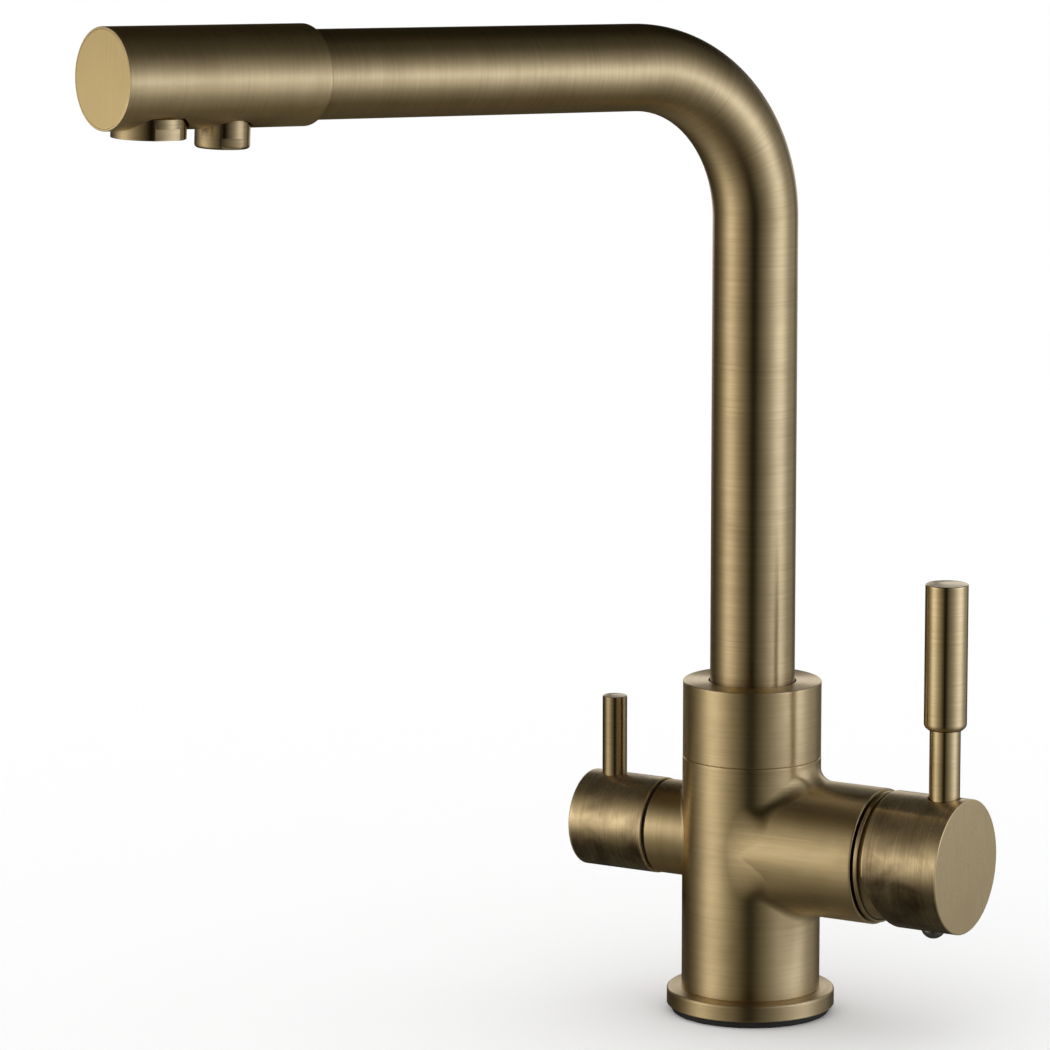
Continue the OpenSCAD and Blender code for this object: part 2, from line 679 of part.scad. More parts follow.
// Brass sleeve on the tube's foot, which turns in the column's socket
module spout_tail() {
    r = socket_r - run_gap;
    color(raw_brass) with_spout() difference() {
        translate([0, 0, tail_floor_z]) cylinder(r = r, h = tail_top_z - tail_floor_z);
        translate([0, 0, socket_z]) cylinder(r = tail_bore_r, h = tail_top_z - socket_z);
        translate([0, 0, tube_foot_z - fit_gap])
            cylinder(r = spout_r + fit_gap, h = tail_top_z - tube_foot_z + overrun);
        for (z = tail_groove_z)
            translate([0, 0, z - o_ring_section_r - fit_gap])
                ring(r + overrun, r - 2 * o_ring_section_r, 2 * o_ring_section_r + 2 * fit_gap);
    }
}

module spout_o_rings() {
    color(rubber) for (z = tail_groove_z)
        translate([0, 0, z]) o_ring(socket_r - run_gap - o_ring_section_r + fit_gap, o_ring_section_r);
}

// Solids inside the outlet head into which the two nozzles are screwed
module nozzle_bosses() {
    intersection() {
        on_spout(head_start) cylinder(r = head_r - head_wall / 2, h = head_len);
        union() {
            under_spout(aerator_at, aerator_seat - overrun)
                cylinder(r = aerator_boss_r, h = head_r);
            under_spout(nozzle_at, -0.8 * nozzle_r)
                cylinder(r = nozzle_boss_r, h = head_r + nozzle_r);
        }
    }
}

// Thicker end of the spout, hollow, with two nozzle seats underneath
module outlet_head() {
    color(brass) difference() {
        union() {
            difference() {
                on_spout(head_start) rimmed(head_r, head_len, head_round, cap_edge);
                on_spout(head_start + tube_overlap) cylinder(r = hollow_r, h = head_len);
            }
            nozzle_bosses();
        }
        on_spout(head_start - overrun) cylinder(r = spout_r + fit_gap, h = tube_overlap + overrun);
        on_spout(head_end - end_cap_t - fit_gap) cylinder(r = head_r - cap_rim, h = end_cap_t + overrun);
        under_spout(aerator_at, 0) cylinder(r = aerator_bore_r - lip_t, h = head_r);
        under_spout(aerator_at, aerator_seat) cylinder(r = aerator_thread_r + fit_gap, h = head_r);
        under_spout(aerator_at, aerator_top - face_gap) cylinder(r = aerator_r + spot_gap, h = head_r);
        on_spout(nozzle_at - nozzle_boss_r - overrun)
            cylinder(r = inner_tube_r + fit_gap, h = nozzle_boss_r + overrun);
        under_spout(nozzle_at, 0) cylinder(r = nozzle_bore_r, h = head_r);
        under_spout(nozzle_at, nozzle_seat) cylinder(r = nozzle_thread_r + fit_gap, h = head_r);
        under_spout(nozzle_at, nozzle_top - face_gap) cylinder(r = nozzle_r + spot_gap, h = head_r);
    }
}

module outlet_end_cap() {
    color(brass) on_spout(head_end) rotate([180, 0, 0]) difference() {
        union() {
            rimmed(head_r - cap_rim - fit_gap, end_cap_t, cap_edge, 0);
            cylinder(r = hollow_r - fit_gap, h = end_plug_len);
        }
        translate([0, 0, end_cap_t]) cylinder(r = hollow_r - head_wall, h = end_cap_t + overrun);
    }
}

// A slice beside a nozzle that leaves a wrench flat at the given distance from its axis
module flat_cut(distance, turn, r) {
    for (side = [0, 180]) rotate([0, 0, turn + side])
        translate([distance, -r, -flat_h]) cube([r, 2 * r, flat_h + overrun]);
}

// Wide nozzle: a threaded neck above and a lip below that keeps the insert in
module aerator_housing() {
    color(brass) difference() {
        union() {
            under_spout(aerator_at, aerator_top) rimmed(aerator_r, aerator_h, cap_edge, cap_edge);
            under_spout(aerator_at, aerator_seat + seal_t + fit_gap)
                cylinder(r = aerator_thread_r, h = aerator_h);
        }
        under_spout(aerator_at, aerator_seat)
            cylinder(r = aerator_bore_r, h = aerator_drop - aerator_seat - lip_t);
        under_spout(aerator_at, aerator_seat) cylinder(r = aerator_bore_r - lip_t, h = head_r + head_r);
        under_spout(aerator_at, aerator_drop) flat_cut(aerator_r - aerator_flat, 0, aerator_r);
    }
}

module aerator_seal() {
    color(rubber) under_spout(aerator_at, aerator_seat + fit_gap)
        ring(aerator_thread_r - fit_gap, aerator_bore_r - lip_t, seal_t - fit_gap);
}

// Strainer that mixes air into the water, with rings of holes
module aerator_insert() {
    h = aerator_drop - aerator_seat - lip_t - seal_t - 3 * fit_gap;
    r = aerator_bore_r - fit_gap;
    color(plastic) under_spout(aerator_at, aerator_seat + seal_t + 2 * fit_gap) difference() {
        cylinder(r = r, h = h);
        translate([0, 0, -overrun]) cylinder(r = 0.82 * r, h = overrun + 0.4 * h);
        for (step = [1, 2], i = [0 : 6 * step - 1]) rotate([0, 0, 60 * i / step])
            translate([0.32 * r * step, 0, 0]) cylinder(r = 0.1 * r, h = h + overrun, $fn = 16);
        cylinder(r = 0.1 * r, h = h + overrun, $fn = 16);
    }
}

// Narrow nozzle for filtered water
module filter_nozzle() {
    color(brass) difference() {
        union() {
            under_spout(nozzle_at, nozzle_top) rimmed(nozzle_r, nozzle_h, cap_edge, nozzle_round);
            under_spout(nozzle_at, nozzle_seat + seal_t + fit_gap)
                cylinder(r = nozzle_thread_r, h = nozzle_h);
        }
        under_spout(nozzle_at, nozzle_seat) cylinder(r = nozzle_bore_r - lip_t, h = head_r + head_r);
        under_spout(nozzle_at, nozzle_seat)
            cylinder(r = nozzle_bore_r, h = nozzle_drop - nozzle_seat - lip_t);
        under_spout(nozzle_at, nozzle_drop) flat_cut(nozzle_r - nozzle_flat, nozzle_turn, nozzle_r);
    }
}

module filter_nozzle_seal() {
    color(rubber) under_spout(nozzle_at, nozzle_seat + fit_gap)
        ring(nozzle_thread_r - fit_gap, nozzle_bore_r, seal_t - fit_gap);
}

// Straightens the filtered water's jet
module filter_nozzle_insert() {
    h = 0.5 * nozzle_h;
    r = nozzle_bore_r - fit_gap;
    color(plastic) under_spout(nozzle_at, nozzle_drop - lip_t - fit_gap - h) difference() {
        cylinder(r = r, h = h);
        for (i = [0 : 5]) rotate([0, 0, 60 * i])
            translate([0.55 * r, 0, -overrun]) cylinder(r = 0.18 * r, h = h + 2 * overrun, $fn = 16);
        translate([0, 0, -overrun]) cylinder(r = 0.18 * r, h = h + 2 * overrun, $fn = 16);
    }
}

// Places its children at the cartridge's two inlets and its outlet, x from the column
module at_cartridge_ports(x) {
    for (side = [hot_side, cold_side])
        translate([x, side * port_offset * sin(port_angle), inlet_z]) rotate([0, 90, 0]) children();
    translate([x, 0, mixed_z]) rotate([0, 90, 0]) children();
}

module cartridge_seals() {
    color(rubber) at_cartridge_ports(chamber_x + fit_gap)
        ring(port_seal_r, passage_r, 3 * seal_proud);
}

module cartridge_base() {
    color(plastic) difference() {
        on_mixer(base_x) cylinder(r = cartridge_r, h = cartridge_base_t);
        at_cartridge_ports(chamber_x) cylinder(r = port_seal_r + fit_gap, h = 3 * seal_proud + 2 * fit_gap);
        at_cartridge_ports(chamber_x) cylinder(r = passage_r, h = cartridge_base_t + overrun);
    }
}

module fixed_disc() {
    color(ceramic) difference() {
        on_mixer(fixed_disc_x) cylinder(r = fixed_disc_r, h = disc_t);
        at_cartridge_ports(chamber_x) cylinder(r = disc_port_r, h = chamber_x);
    }
}

// Slides over the fixed disc, and lies half its stroke below the axis at rest, when the tap is
// closed. The shallow chamber in its face joins the ports that it covers.
module moving_disc() {
    color(ceramic) translate([0, 0, -disc_stroke / 2]) on_mixer(moving_disc_x) difference() {
        cylinder(r = moving_disc_r, h = disc_t);
        translate([0, 0, -overrun]) cylinder(r = 0.67 * moving_disc_r, h = overrun + 0.6 * disc_t);
    }
}

module disc_carrier() {
    color(plastic) difference() {
        translate([0, 0, -disc_stroke / 2]) on_mixer(carrier_x) cylinder(r = moving_disc_r, h = carrier_t);
        on_mixer(carrier_x + 0.1 * carrier_t) cylinder(r = ball_r + run_gap, h = carrier_t);
    }
}

// Shell of the cartridge: wide round the discs, narrow round the turret
module cartridge_housing() {
    color(plastic) difference() {
        on_mixer(fixed_disc_x) cylinder(r = cartridge_r, h = housing_end - fixed_disc_x);
        on_mixer(base_x)
            cylinder(r = fixed_disc_r + 2 * face_gap, h = turret_x + turret_flange_t + face_gap - base_x);
        on_mixer(base_x) cylinder(r = turret_r + run_gap, h = housing_end);
    }
}

// Turning part of the cartridge: it holds the spindle's pin, and its flange keeps it in
module cartridge_turret() {
    slot_w = spindle_w + 4 * run_gap;
    slot_high = spindle_w / 2 + slot_gap;
    slot_low = spindle_w / 2 / cos(lift_angle) + (turret_end - pivot_x) * tan(lift_angle) + slot_gap;
    color(plastic) difference() {
        union() {
            on_mixer(turret_x) cylinder(r = turret_r, h = turret_end - turret_x);
            on_mixer(turret_x) cylinder(r = fixed_disc_r, h = turret_flange_t);
        }
        translate([0, -slot_w / 2, mixer_z - slot_low])
            cube([pivot_x + turret_end, slot_w, slot_low + slot_high]);
        translate([pivot_x, turret_r, mixer_z]) rotate([90, 0, 0])
            cylinder(r = pivot_pin_r + fit_gap, h = turret_r + turret_r);
    }
}

module pivot_pin() {
    half = 0.85 * turret_r;
    color(steel) translate([pivot_x, half, mixer_z]) rotate([90, 0, 0])
        cylinder(r = pivot_pin_r, h = half + half);
}

// Lever's spindle: a ball that moves the disc, an eye on the pivot pin and a square for the cap
module mixer_spindle() {
    eye_r = spindle_w / 2;
    color(steel) difference() {
        union() {
            translate([ball_x, 0, mixer_z]) sphere(r = ball_r, $fn = 48);
            on_mixer(ball_x) cylinder(r = 0.65 * ball_r, h = pivot_x - ball_x);
            translate([pivot_x, eye_r, mixer_z]) rotate([90, 0, 0]) cylinder(r = eye_r, h = spindle_w);
            translate([pivot_x, -eye_r, mixer_z - eye_r])
                cube([spindle_end - pivot_x, spindle_w, spindle_w]);
        }
        translate([pivot_x, spindle_w, mixer_z]) rotate([90, 0, 0])
            cylinder(r = pivot_pin_r + run_gap, h = 2 * spindle_w);
    }
}

// Screwed into the arm's mouth over the housing, with a six sided nose
module cartridge_nut() {
    color(raw_brass) difference() {
        union() {
            on_mixer(housing_end + fit_gap)
                cylinder(r = nut_r - fit_gap, h = mixer_arm_x - housing_end - 2 * fit_gap);
            on_mixer(housing_end + fit_gap)
                cylinder(r = 0.83 * nut_r, h = mixer_arm_x - housing_end + 0.1 * nut_r, $fn = 6);
        }
        on_mixer(base_x) cylinder(r = turret_r + 8 * face_gap, h = mixer_arm_x);
    }
}

// Ring and dome that cover the cartridge: the dome's centre is the lever's pivot
module cartridge_shroud() {
    inner_r = dome_r - dome_wall;
    skirt_r = 0.86 * nut_r;
    color(brass) on_mixer(0) rotate_extrude() polygon(concat(
        [[skirt_r, mixer_arm_x + fit_gap], [nut_r, mixer_arm_x + fit_gap], [nut_r, ring_rear_x]],
        arc(dome_ring_r - cap_edge, ring_rear_x + cap_edge, cap_edge, -90, 0, 3),
        arc(dome_ring_r - cap_edge, ring_front_x - cap_edge, cap_edge, 0, 90, 3),
        arc(0, pivot_x, dome_r, asin((ring_front_x - pivot_x) / dome_r), acos(dome_mouth_r / dome_r), 12),
        arc(0, pivot_x, inner_r, acos(dome_mouth_r / inner_r), acos(skirt_r / inner_r), 8)));
}

// Cap of the lever: hollow round the dome, and cut away obliquely below so that it can tilt
module handle_cap() {
    color(brass) difference() {
        on_mixer(cap_rear_x) rimmed(cap_r, cap_len, cap_edge, cap_edge, 2);
        translate([pivot_x, 0, mixer_z]) rotate([0, 90, 0]) sphere(r = cap_cavity_r);
        translate([cap_rear_x, 0, mixer_z - relief_start]) rotate([0, -relief_angle, 0])
            translate([-cap_len, -cap_r - overrun, -2 * cap_r])
                cube([cap_len, 2 * (cap_r + overrun), 2 * cap_r]);
        translate([pivot_x, -spindle_w / 2 - fit_gap, mixer_z - spindle_w / 2 - fit_gap])
            cube([spindle_end + fit_gap - pivot_x, spindle_w + 2 * fit_gap, spindle_w + 2 * fit_gap]);
        translate([lever_x, 0, mixer_z + 0.35 * cap_r]) cylinder(r = stem_r + fit_gap, h = cap_r);
        translate([lever_x, 0, mixer_z + 0.95 * cap_r]) cylinder(r = 1.09 * stem_r, h = cap_r);
        translate([screw_x, 0, mixer_z - cap_r]) cylinder(r = screw_shank_r + fit_gap, h = cap_r);
        translate([screw_x, 0, mixer_z - cap_r - overrun])
            cylinder(r = 1.08 * screw_head_r, h = overrun + screw_head_h / 2);
    }
}

module lever_stem() {
    color(brass) translate([lever_x, 0, mixer_z + 0.35 * cap_r + fit_gap])
        cylinder(r = stem_r, h = grip_start + grip_socket - 0.35 * cap_r - 2 * fit_gap);
}

module lever_grip() {
    color(brass) translate([lever_x, 0, mixer_z + grip_start]) difference() {
        rimmed(grip_r, grip_len, grip_round, cap_edge);
        translate([0, 0, -overrun]) cylinder(r = stem_r + fit_gap, h = grip_socket + overrun);
    }
}

// Domed screw with a six sided socket that clamps the cap to the spindle
module handle_screw() {
    dome = (screw_head_r * screw_head_r + screw_head_h * screw_head_h) / (2 * screw_head_h);
    seat = mixer_z - cap_r + screw_head_h / 2 - fit_gap;
    color(steel) translate([screw_x, 0, seat]) difference() {
        union() {
            intersection() {
                translate([0, 0, dome - 1.5 * screw_head_h]) sphere(r = dome);
                translate([0, 0, -2 * screw_head_h]) cylinder(r = screw_head_r, h = 2 * screw_head_h);
            }
            translate([0, 0, -screw_head_h / 4])
                cylinder(
                    r = screw_shank_r,
                    h = mixer_z - spindle_w / 2 - 2 * fit_gap - seat + screw_head_h / 4
                );
        }
        translate([0, 0, -2 * screw_head_h])
            cylinder(r = 0.42 * screw_head_r, h = 1.6 * screw_head_h, $fn = 6);
    }
}

// Body of the filter valve: pocket for the discs, thread, flange and neck
module filter_headwork() {
    thread_end = filter_arm_x - valve_recess_depth;
    color(raw_brass) difference() {
        union() {
            on_filter(valve_disc_x) cylinder(r = valve_body_r, h = valve_thread_x - valve_disc_x);
            on_filter(valve_thread_x)
                cylinder(r = valve_chamber_r - fit_gap, h = thread_end - valve_thread_x);
            on_filter(thread_end + fit_gap)
                cylinder(r = valve_recess_r - fit_gap, h = valve_recess_depth - 3 * fit_gap);
            on_filter(thread_end) cylinder(r = valve_neck_r, h = neck_end - thread_end);
        }
        on_filter(valve_chamber_x)
            cylinder(r = valve_disc_r + face_gap, h = valve_thread_x - valve_chamber_x);
        on_filter(valve_chamber_x) cylinder(r = valve_spindle_r + run_gap, h = neck_end);
        // Side windows through which the water leaves
        translate([-turning_disc_x - valve_disc_t / 2, 0, filter_z - valve_chamber_r])
            cylinder(r = 0.45 * valve_disc_t, h = 2 * valve_chamber_r, $fn = 32);
    }
}

module filter_seat_seal() {
    color(rubber) on_filter(valve_chamber_x + fit_gap) ring(valve_body_r - fit_gap, 1.15 * passage_r, seat_t);
}

// Two opposite holes of a valve disc, as children's cut
module disc_holes(x, turn) {
    on_filter(x - overrun) for (side = [0, 180]) rotate([0, 0, turn + side])
        translate([0.52 * valve_disc_r, 0, 0])
            cylinder(r = 0.3 * valve_disc_r, h = valve_disc_t + 2 * overrun, $fn = 32);
}

module filter_fixed_disc() {
    color(ceramic) difference() {
        on_filter(valve_disc_x) cylinder(r = valve_disc_r, h = valve_disc_t);
        disc_holes(valve_disc_x, 0);
    }
}

// Closed at rest: its holes are a quarter turn from the fixed disc's
module filter_turning_disc() {
    color(ceramic) difference() {
        on_filter(turning_disc_x) cylinder(r = valve_disc_r, h = valve_disc_t);
        disc_holes(turning_disc_x, 90);
    }
}

module filter_spindle() {
    groove_x = filter_arm_x;
    color(raw_brass) difference() {
        union() {
            on_filter(valve_flange_x) cylinder(r = valve_disc_r, h = valve_flange_t);
            on_filter(valve_flange_x) cylinder(r = valve_spindle_r, h = valve_end - valve_flange_x);
        }
        on_filter(groove_x) ring(valve_neck_r, 0.72 * valve_spindle_r, 0.3 * valve_spindle_r);
    }
}

module filter_spindle_seal() {
    section = 0.28 * valve_spindle_r / 2 + run_gap / 4;
    color(rubber) on_filter(filter_arm_x + 0.15 * valve_spindle_r)
        o_ring(0.72 * valve_spindle_r + fit_gap / 2 + section, section);
}

module filter_clip() {
    color(steel) on_filter(neck_end + face_gap)
        ring(1.5 * valve_spindle_r, valve_spindle_r + fit_gap, (cavity_end - neck_end) / 3);
}

// Dark washer in the gap between the filter arm and its hub
module filter_gap_ring() {
    gap = hub_x - filter_arm_x;
    color(rubber) on_filter(filter_arm_x + fit_gap)
        ring(0.95 * filter_arm_r, valve_recess_r + face_gap, gap - fit_gap - 3 * face_gap);
}

module filter_hub() {
    color(brass) difference() {
        on_filter(hub_x) rimmed(hub_r, hub_len, arm_edge, hub_edge, 3);
        on_filter(hub_x - overrun) cylinder(r = 0.8 * hub_r, h = cavity_end - hub_x + overrun);
        on_filter(hub_x) cylinder(r = valve_spindle_r + fit_gap, h = valve_end + fit_gap - hub_x);
        translate([-rod_x, 0, filter_z + 0.35 * hub_r]) cylinder(r = rod_r + fit_gap, h = hub_r);
        translate([-grub_x, 0, filter_z - hub_r - overrun])
            cylinder(r = grub_r + fit_gap, h = hub_r + overrun);
    }
}

module filter_rod() {
    foot = 0.35 * hub_r + fit_gap;
    color(brass) translate([-rod_x, 0, filter_z + foot]) rimmed(rod_r, rod_top - foot, cap_edge, cap_edge, 2);
}

module filter_grub_screw() {
    length = 0.4 * hub_r;
    color(steel) translate([-grub_x, 0, filter_z - valve_spindle_r - fit_gap - length]) difference() {
        cylinder(r = grub_r, h = length);
        translate([0, 0, -overrun]) cylinder(r = 0.55 * grub_r, h = overrun + length / 3, $fn = 6);
    }
}

body_casting();
base_ring();
base_gasket();
collar();
collar_bush();
slip_ring();
spout_tube();
spout_tail();
spout_o_rings();
inner_tube();
inner_tube_seal();
outlet_head();
outlet_end_cap();
aerator_housing();
aerator_insert();
aerator_seal();
filter_nozzle();
filter_nozzle_insert();
filter_nozzle_seal();
cartridge_housing();
cartridge_base();
cartridge_seals();
fixed_disc();
moving_disc();
disc_carrier();
cartridge_turret();
pivot_pin();
mixer_spindle();
cartridge_nut();
cartridge_shroud();
handle_cap();
lever_stem();
lever_grip();
handle_screw();
filter_headwork();
filter_seat_seal();
filter_fixed_disc();
filter_turning_disc();
filter_spindle();
filter_spindle_seal();
filter_clip();
filter_gap_ring();
filter_hub();
filter_rod();
filter_grub_screw();
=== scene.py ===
"""Looks of a three way kitchen tap in antique brass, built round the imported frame."""

import json
import math

import bpy
import numpy as np
from mathutils import Matrix, Vector

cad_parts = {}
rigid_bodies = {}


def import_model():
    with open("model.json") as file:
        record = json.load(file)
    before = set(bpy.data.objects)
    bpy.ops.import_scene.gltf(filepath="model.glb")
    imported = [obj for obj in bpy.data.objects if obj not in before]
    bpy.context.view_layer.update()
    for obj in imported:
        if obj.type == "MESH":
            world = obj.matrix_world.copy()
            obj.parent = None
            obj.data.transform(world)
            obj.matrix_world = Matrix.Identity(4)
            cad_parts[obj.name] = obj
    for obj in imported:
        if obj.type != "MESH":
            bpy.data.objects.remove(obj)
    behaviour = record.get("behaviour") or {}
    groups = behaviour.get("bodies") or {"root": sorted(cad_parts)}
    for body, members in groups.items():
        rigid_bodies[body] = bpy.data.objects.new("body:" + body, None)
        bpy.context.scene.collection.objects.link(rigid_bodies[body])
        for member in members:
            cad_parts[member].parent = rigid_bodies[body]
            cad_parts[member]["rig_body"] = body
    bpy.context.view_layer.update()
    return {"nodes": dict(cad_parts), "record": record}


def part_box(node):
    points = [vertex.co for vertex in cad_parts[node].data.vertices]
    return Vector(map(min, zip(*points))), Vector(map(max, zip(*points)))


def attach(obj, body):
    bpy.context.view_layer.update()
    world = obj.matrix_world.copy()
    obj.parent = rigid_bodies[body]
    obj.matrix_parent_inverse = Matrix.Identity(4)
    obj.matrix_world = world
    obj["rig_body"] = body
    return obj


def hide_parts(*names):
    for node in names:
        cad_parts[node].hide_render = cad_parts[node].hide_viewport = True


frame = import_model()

# Sizes in metres, the same as the frame's. A turned piece has ROUND points round it, FIT is the gap
# between pieces that fit together, and a cutter passes the faces it cuts by OVERRUN. Roundings from
# WIDE_ROUND on are not rubbed bright.
MM = 0.001
TURN = 2 * math.pi
ROUND = 256
FIT = 0.05 * MM
OVERRUN = 1 * MM
CRISP = 0.1 * MM
EDGE = 0.25 * MM
WIDE_ROUND = 1 * MM
SKIN_DEPTH = 0.05 * MM

# Marks on the brass: above zero it is rubbed bright, below zero it gets painted shade,
# browner and nearer black the lower the mark
RUBBED = 1.0
MILLED = 0.6
SHADED = -0.62
PAINTED_BORE_SHADE = -0.8
PAINTED_GAP_SHADE = -1.0

# Base and column
BODY_R = 20.6 * MM
BODY_Z = 7.2 * MM
SEAM_Z = 77.7 * MM
BODY_EDGE = 0.3 * MM
SPIGOT_R = 17 * MM
SPIGOT_Z = 2.6 * MM
NECK_R = 17.4 * MM
NECK_TOP = 89.7 * MM
SOCKET_R = 14.6 * MM
SOCKET_Z = 66 * MM
PIPE_HOLE_R = 4.1 * MM
PIPE_HOLE_Z = 57 * MM
STUD_R = 3.4 * MM
STUD_DEPTH = 14 * MM
PORT_R = 4.5 * MM
PORT_DEPTH = 12 * MM
PORT_OFFSET = 10.7 * MM
PORT_ANGLE = math.radians(55)
PASSAGE_R = 2.8 * MM
RING_HOLLOW_R = 18.55 * MM
RING_FOOT_EDGE = 0.35 * MM
RING_ROUND = 0.7 * MM
GASKET_BORE_R = 18.6 * MM
NECK_EDGE = 0.4 * MM
COLLAR_HOLLOW_R = 16.25 * MM
COLLAR_LIP = 3.2 * MM
SHOULDER_GAP = 0.15 * MM
SPOUT_GAP = 0.45 * MM

# Arms
MIXER_Z = 52 * MM
MIXER_R = 20.15 * MM
MIXER_X = 43.5 * MM
TOP_FILLET = 5 * MM
UNDER_FILLET = 3 * MM
FLANK_FILLET = 40 * MM
FLANK_POWER = 14
CHAMBER_R = 17.6 * MM
CHAMBER_X = 16.5 * MM
NUT_R = 18.3 * MM
NUT_LEN = 3 * MM
RIM_R = 19.4 * MM
RIM_REAR = MIXER_X + 0.7 * MM
RIM_FRONT = MIXER_X + 2.1 * MM
DOME_R = 19.8 * MM
DOME_HOLLOW_R = 18.4 * MM
DOME_MOUTH_R = 12 * MM
FILTER_Z = 52.8 * MM
FILTER_R = 14.1 * MM
FILTER_X = 28.95 * MM
FILTER_FILLET = 1.5 * MM
VALVE_R = 11 * MM
VALVE_X = 14 * MM
RECESS_R = 12 * MM
RECESS_DEPTH = 3 * MM

# Spout: AT is a distance along its axis, DROP and ROOT are distances below the axis
SPOUT_R = 12.55 * MM
SPOUT_WALL = 1.2 * MM
SPOUT_Z = 283.2 * MM
SPOUT_FOOT = 76 * MM
BEND_R = 46.8 * MM
BEND_ROWS = 121
STRAIGHT_ROWS = 10
RISE = math.radians(2.4)
SWIVEL = math.radians(23.2)
HEAD_R = 14.195 * MM
HEAD_START = 158 * MM
HEAD_END = 224.4 * MM
HEAD_HOLLOW = 12 * MM
HEAD_ROUND = 1.6 * MM
TUBE_OVERLAP = 12 * MM
PIPE_SEAT_R = 4.05 * MM
PIPE_SEAT = 11 * MM
CAP_RIM = 0.6 * MM
CAP_T = 2.2 * MM
CAP_PLUG = 3.3 * MM
CAP_HOLLOW_R = 9.8 * MM
BOSS_INSET = 1.1 * MM
BOSS_WALL = 0.6 * MM
SPOT_GAP = 0.7 * MM
AERATOR_AT = 209.3 * MM
AERATOR_R = 10.4 * MM
AERATOR_DROP = 16.3 * MM
AERATOR_H = 5.9 * MM
AERATOR_ROOT_R = 8.53 * MM
AERATOR_ROOT = 6.35 * MM
AERATOR_BORE_R = 7.38 * MM
AERATOR_MOUTH_R = 6.48 * MM
AERATOR_HOLE = 5.4 * MM
AERATOR_BOSS = 4.4 * MM
NOZZLE_AT = 185.3 * MM
NOZZLE_R = 7.7 * MM
NOZZLE_DROP = 19.6 * MM
NOZZLE_H = 8.7 * MM
NOZZLE_ROUND = 1.1 * MM
NOZZLE_ROOT = 8.75 * MM
NOZZLE_HOLE_R = 4.98 * MM
NOZZLE_HOLE = 7.8 * MM
NOZZLE_FEED_R = 3.4 * MM
NOZZLE_BOSS = -6.2 * MM
FLAT_H = 3.2 * MM
AERATOR_FLAT = AERATOR_R - 0.75 * MM
NOZZLE_FLAT = NOZZLE_R - 0.7 * MM
NOZZLE_TURN = math.radians(12)
LIP = 0.9 * MM

# Levers
CAP_R = 20 * MM
CAP_X = 47.1 * MM
CAP_LEN = 24.3 * MM
PIVOT_X = 37 * MM
CAVITY_R = math.hypot(CAP_X - PIVOT_X, 0.88 * CAP_R)
RELIEF_ANGLE = math.radians(16.7)
RELIEF_START = 1 * MM
SQUARE_W = 7 * MM
SQUARE_END = CAP_X + CAP_LEN - 5.11 * MM
LEVER_X = CAP_X + CAP_LEN - 7.3 * MM
STEM_R = 4.55 * MM
STEM_EDGE = 0.2 * MM
STEM_SEAT = 7 * MM
GRIP_R = 6.3 * MM
GRIP_ROUND = 1.8 * MM
GRIP_LEN = 43.1 * MM
SCREW_X = CAP_X + CAP_LEN - 10.4 * MM
SCREW_R = 3.55 * MM
SCREW_H = 2.6 * MM
HUB_R = 14.4 * MM
HUB_X = 30 * MM
HUB_LEN = 25 * MM
HUB_ROUND = 0.7 * MM
GRUB_HOLE_R = 2.05 * MM
ROD_X = HUB_X + HUB_LEN - 8 * MM
ROD_R = 3.7 * MM
SPINDLE_R = 3.5 * MM

# Places: each axis is its matrix's Z
UPRIGHT = Matrix.Identity(4)
MIXER = Matrix.Translation((0, 0, MIXER_Z)) @ Matrix.Rotation(math.pi / 2, 4, "Y")
FILTER = Matrix.Translation((0, 0, FILTER_Z)) @ Matrix.Rotation(-math.pi / 2, 4, "Y")
SPOUT = (Matrix.Rotation(-SWIVEL, 4, "Z") @ Matrix.Translation((0, 0, SPOUT_Z))
         @ Matrix.Rotation(math.pi / 2 - RISE, 4, "X"))


def shifted(place, distance):
    """The place moved along its own Z."""
    return place @ Matrix.Translation((0, 0, distance))


def under_spout(distance):
    """A place on the spout's axis whose Z points down, away from the spout."""
    return shifted(SPOUT, distance) @ Matrix.Rotation(math.pi / 2, 4, "X")


def standing(x, y=0.0, z=0.0):
    """An upright place at a point."""
    return Matrix.Translation((x, y, z))


def moved(points, place):
    """The points carried from a place's own frame into the tap's frame."""
    m = np.array(place)
    return points @ m[:3, :3].T + m[:3, 3]


# Meshes

def eased(t):
    """A smooth step from 0 to 1, level at both ends: t squared times 3 - 2 t, t held in 0 to 1."""
    t = np.clip(t, 0, 1)
    return t * t * (3 - 2 * t)


def linked(name, data):
    """A new object in the scene."""
    obj = bpy.data.objects.new(name, data)
    bpy.context.scene.collection.objects.link(obj)
    return obj


def read(items, field, width=1, kind=np.float32):
    """One field of all points, corners or faces of a mesh: a number each, or a row of numbers."""
    found = np.empty(len(items) * width, kind)
    items.foreach_get(field, found)
    return found if width == 1 else found.reshape(-1, width)


def mesh_object(name, points, faces, edge=None):
    """A closed mesh whose faces point outwards, from an array of points and arrays of faces. edge
    holds a mark for every point: rubbed wear above zero, painted shade below zero."""
    mesh = bpy.data.meshes.new(name)
    corners = np.concatenate([f.ravel() for f in faces]).astype(np.int32)
    sizes = np.concatenate([np.full(len(f), f.shape[1]) for f in faces])
    mesh.vertices.add(len(points))
    mesh.vertices.foreach_set("co", points.astype(np.float32).ravel())
    mesh.loops.add(len(corners))
    mesh.loops.foreach_set("vertex_index", corners)
    mesh.polygons.add(len(sizes))
    mesh.polygons.foreach_set("loop_start", (np.cumsum(sizes) - sizes).astype(np.int32))
    mesh.update(calc_edges=True)
    if signed_volume(mesh) < 0:
        mesh.flip_normals()
    if edge is not None:
        layer = mesh.attributes.new("edge", "FLOAT", "POINT")
        layer.data.foreach_set("value", edge.astype(np.float32))
    return linked(name, mesh)


